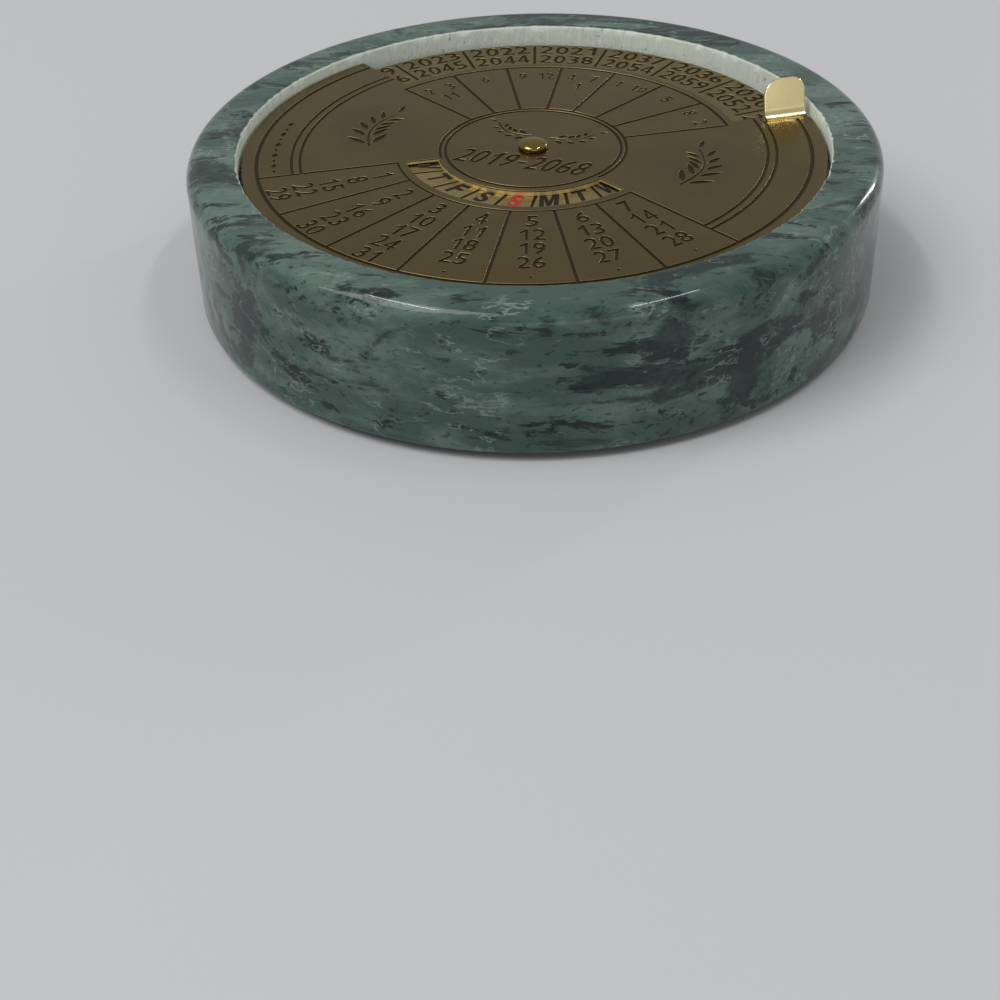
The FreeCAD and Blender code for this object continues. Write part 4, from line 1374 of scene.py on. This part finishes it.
class CALENDAR_OT_stage(bpy.types.Operator):
    """Pale floor, soft light and the camera"""
    bl_idname = "calendar.stage"
    bl_label = "Stage"
    bl_options = {"REGISTER", "UNDO"}

    def execute(self, context):
        stage = context.scene.calendar_stage
        self.add_floor(stage)
        self.add_lamps(stage)
        self.add_world(context.scene, stage)
        self.add_camera(context.scene, stage)
        context.scene.view_settings.view_transform = "Standard"
        return {"FINISHED"}

    def add_floor(self, stage):
        size = stage.floor_size
        mesh = bpy.data.meshes.new("floor")
        corners = [(-size, -size, 0), (size, -size, 0), (size, size, 0), (-size, size, 0)]
        mesh.from_pydata(corners, [], [(0, 1, 2, 3)])
        graph = Graph("floor_paint", Roughness=0.85, Base_Color=(*stage.floor, 1.0))
        mesh.materials.append(graph.material)
        floor = bpy.data.objects.new("floor", mesh)
        bpy.context.scene.collection.objects.link(floor)

    def add_lamps(self, stage):
        """Area lamps as name, size, power and place, all aimed at the middle of the puck's top."""
        lamps = (
            ("key", (0.7, 0.7), stage.key_power, (-0.55, -0.30, 1.00)),
            ("strip_left", (0.50, 0.035), stage.strip_power, (-0.38, -0.05, 0.9)),
            ("strip_right", (0.46, 0.035), stage.strip_power, (0.36, -0.05, 0.9)),
            ("front", (1.2, 0.5), stage.front_power, (0.30, -1.40, 0.26)),
            ("strip_back", (0.06, 0.30), stage.strip_power, (0.75, 0.70, 0.32)),
        )
        middle = Vector((0.0, 0.0, STONE_HIGH.z))
        for name, size, watts, place in lamps:
            lamp = bpy.data.lights.new(name, "AREA")
            lamp.shape = "RECTANGLE"
            lamp.size, lamp.size_y = size
            lamp.energy = watts
            holder = bpy.data.objects.new(name, lamp)
            holder.location = place
            holder.rotation_euler = (middle - Vector(place)).to_track_quat("-Z", "Y").to_euler()
            bpy.context.scene.collection.objects.link(holder)

    def add_world(self, scene, stage):
        """Even surroundings; the camera sees them as dark as the far end of the floor."""
        world = bpy.data.worlds.new("surroundings")
        world.use_nodes = True
        nodes, links = world.node_tree.nodes, world.node_tree.links
        light = nodes["Background"]
        light.inputs["Color"].default_value = (1.0, 1.0, 1.0, 1.0)
        light.inputs["Strength"].default_value = stage.world_level
        backdrop = nodes.new("ShaderNodeBackground")
        backdrop.inputs["Color"].default_value = (*stage.floor, 1.0)
        backdrop.inputs["Strength"].default_value = stage.world_level
        path = nodes.new("ShaderNodeLightPath")
        choice = nodes.new("ShaderNodeMixShader")
        links.new(path.outputs["Is Camera Ray"], choice.inputs["Fac"])
        links.new(light.outputs["Background"], choice.inputs[1])
        links.new(backdrop.outputs["Background"], choice.inputs[2])
        links.new(choice.outputs["Shader"], nodes["World Output"].inputs["Surface"])
        scene.world = world

    def add_camera(self, scene, stage):
        """Camera on the -Y side, aimed by its own yaw, pitch and roll from the middle of the top."""
        back = Vector((0.0, -math.cos(stage.height), math.sin(stage.height)))
        right = Vector((1.0, 0.0, 0.0))
        ahead = -back
        up = right.cross(ahead)
        ahead = (ahead * math.cos(stage.yaw) * math.cos(stage.pitch)
                 + right * math.sin(stage.yaw) * math.cos(stage.pitch) + up * math.sin(stage.pitch))
        right = right * math.cos(stage.yaw) + back * math.sin(stage.yaw)
        up = right.cross(ahead)
        level_right, level_up = right.copy(), up.copy()
        right = level_right * math.cos(stage.roll) + level_up * math.sin(stage.roll)
        up = level_up * math.cos(stage.roll) - level_right * math.sin(stage.roll)
        data = bpy.data.cameras.new("camera")
        data.lens = stage.lens
        data.sensor_width = 36.0
        data.clip_start = 0.01
        camera = bpy.data.objects.new("camera", data)
        turn = Matrix((right, up, -ahead)).transposed().to_4x4()
        place = Vector((0.0, 0.0, STONE_HIGH.z)) + back * stage.distance
        camera.matrix_world = Matrix.Translation(place) @ turn
        scene.collection.objects.link(camera)
        scene.camera = camera


class CALENDAR_PT_sidebar(bpy.types.Panel):
    """Buttons for the pieces and the settings"""
    bl_idname = "CALENDAR_PT_sidebar"
    bl_label = "Desk calendar"
    bl_space_type = "VIEW_3D"
    bl_region_type = "UI"
    bl_category = "Calendar"

    def draw(self, context):
        for operator in OPERATORS:
            self.layout.operator(operator.bl_idname)
        for settings in ("calendar_stone", "calendar_dial", "calendar_stage"):
            group = getattr(context.scene, settings)
            box = self.layout.box()
            for name in group.__annotations__:
                box.prop(group, name)


OPERATORS = (
    CALENDAR_OT_stage,
    CALENDAR_OT_stone,
    CALENDAR_OT_felt,
    CALENDAR_OT_foam,
    CALENDAR_OT_year_disc,
    CALENDAR_OT_date_plate,
    CALENDAR_OT_rivet,
)
CLASSES = (CalendarStone, CalendarDial, CalendarStage) + OPERATORS + (CALENDAR_PT_sidebar,)


def register():
    """Registers the classes and hangs the settings on the scene."""
    for each in CLASSES:
        bpy.utils.register_class(each)
    bpy.types.Scene.calendar_stone = bpy.props.PointerProperty(type=CalendarStone)
    bpy.types.Scene.calendar_dial = bpy.props.PointerProperty(type=CalendarDial)
    bpy.types.Scene.calendar_stage = bpy.props.PointerProperty(type=CalendarStage)


def unregister():
    """Takes the settings and the classes away again."""
    del bpy.types.Scene.calendar_stage
    del bpy.types.Scene.calendar_dial
    del bpy.types.Scene.calendar_stone
    for each in reversed(CLASSES):
        bpy.utils.unregister_class(each)


def main():
    """Builds the stage and every piece."""
    register()
    for operator in OPERATORS:
        module, name = operator.bl_idname.split(".")
        getattr(getattr(bpy.ops, module), name)()


if __name__ == "__main__":
    main()
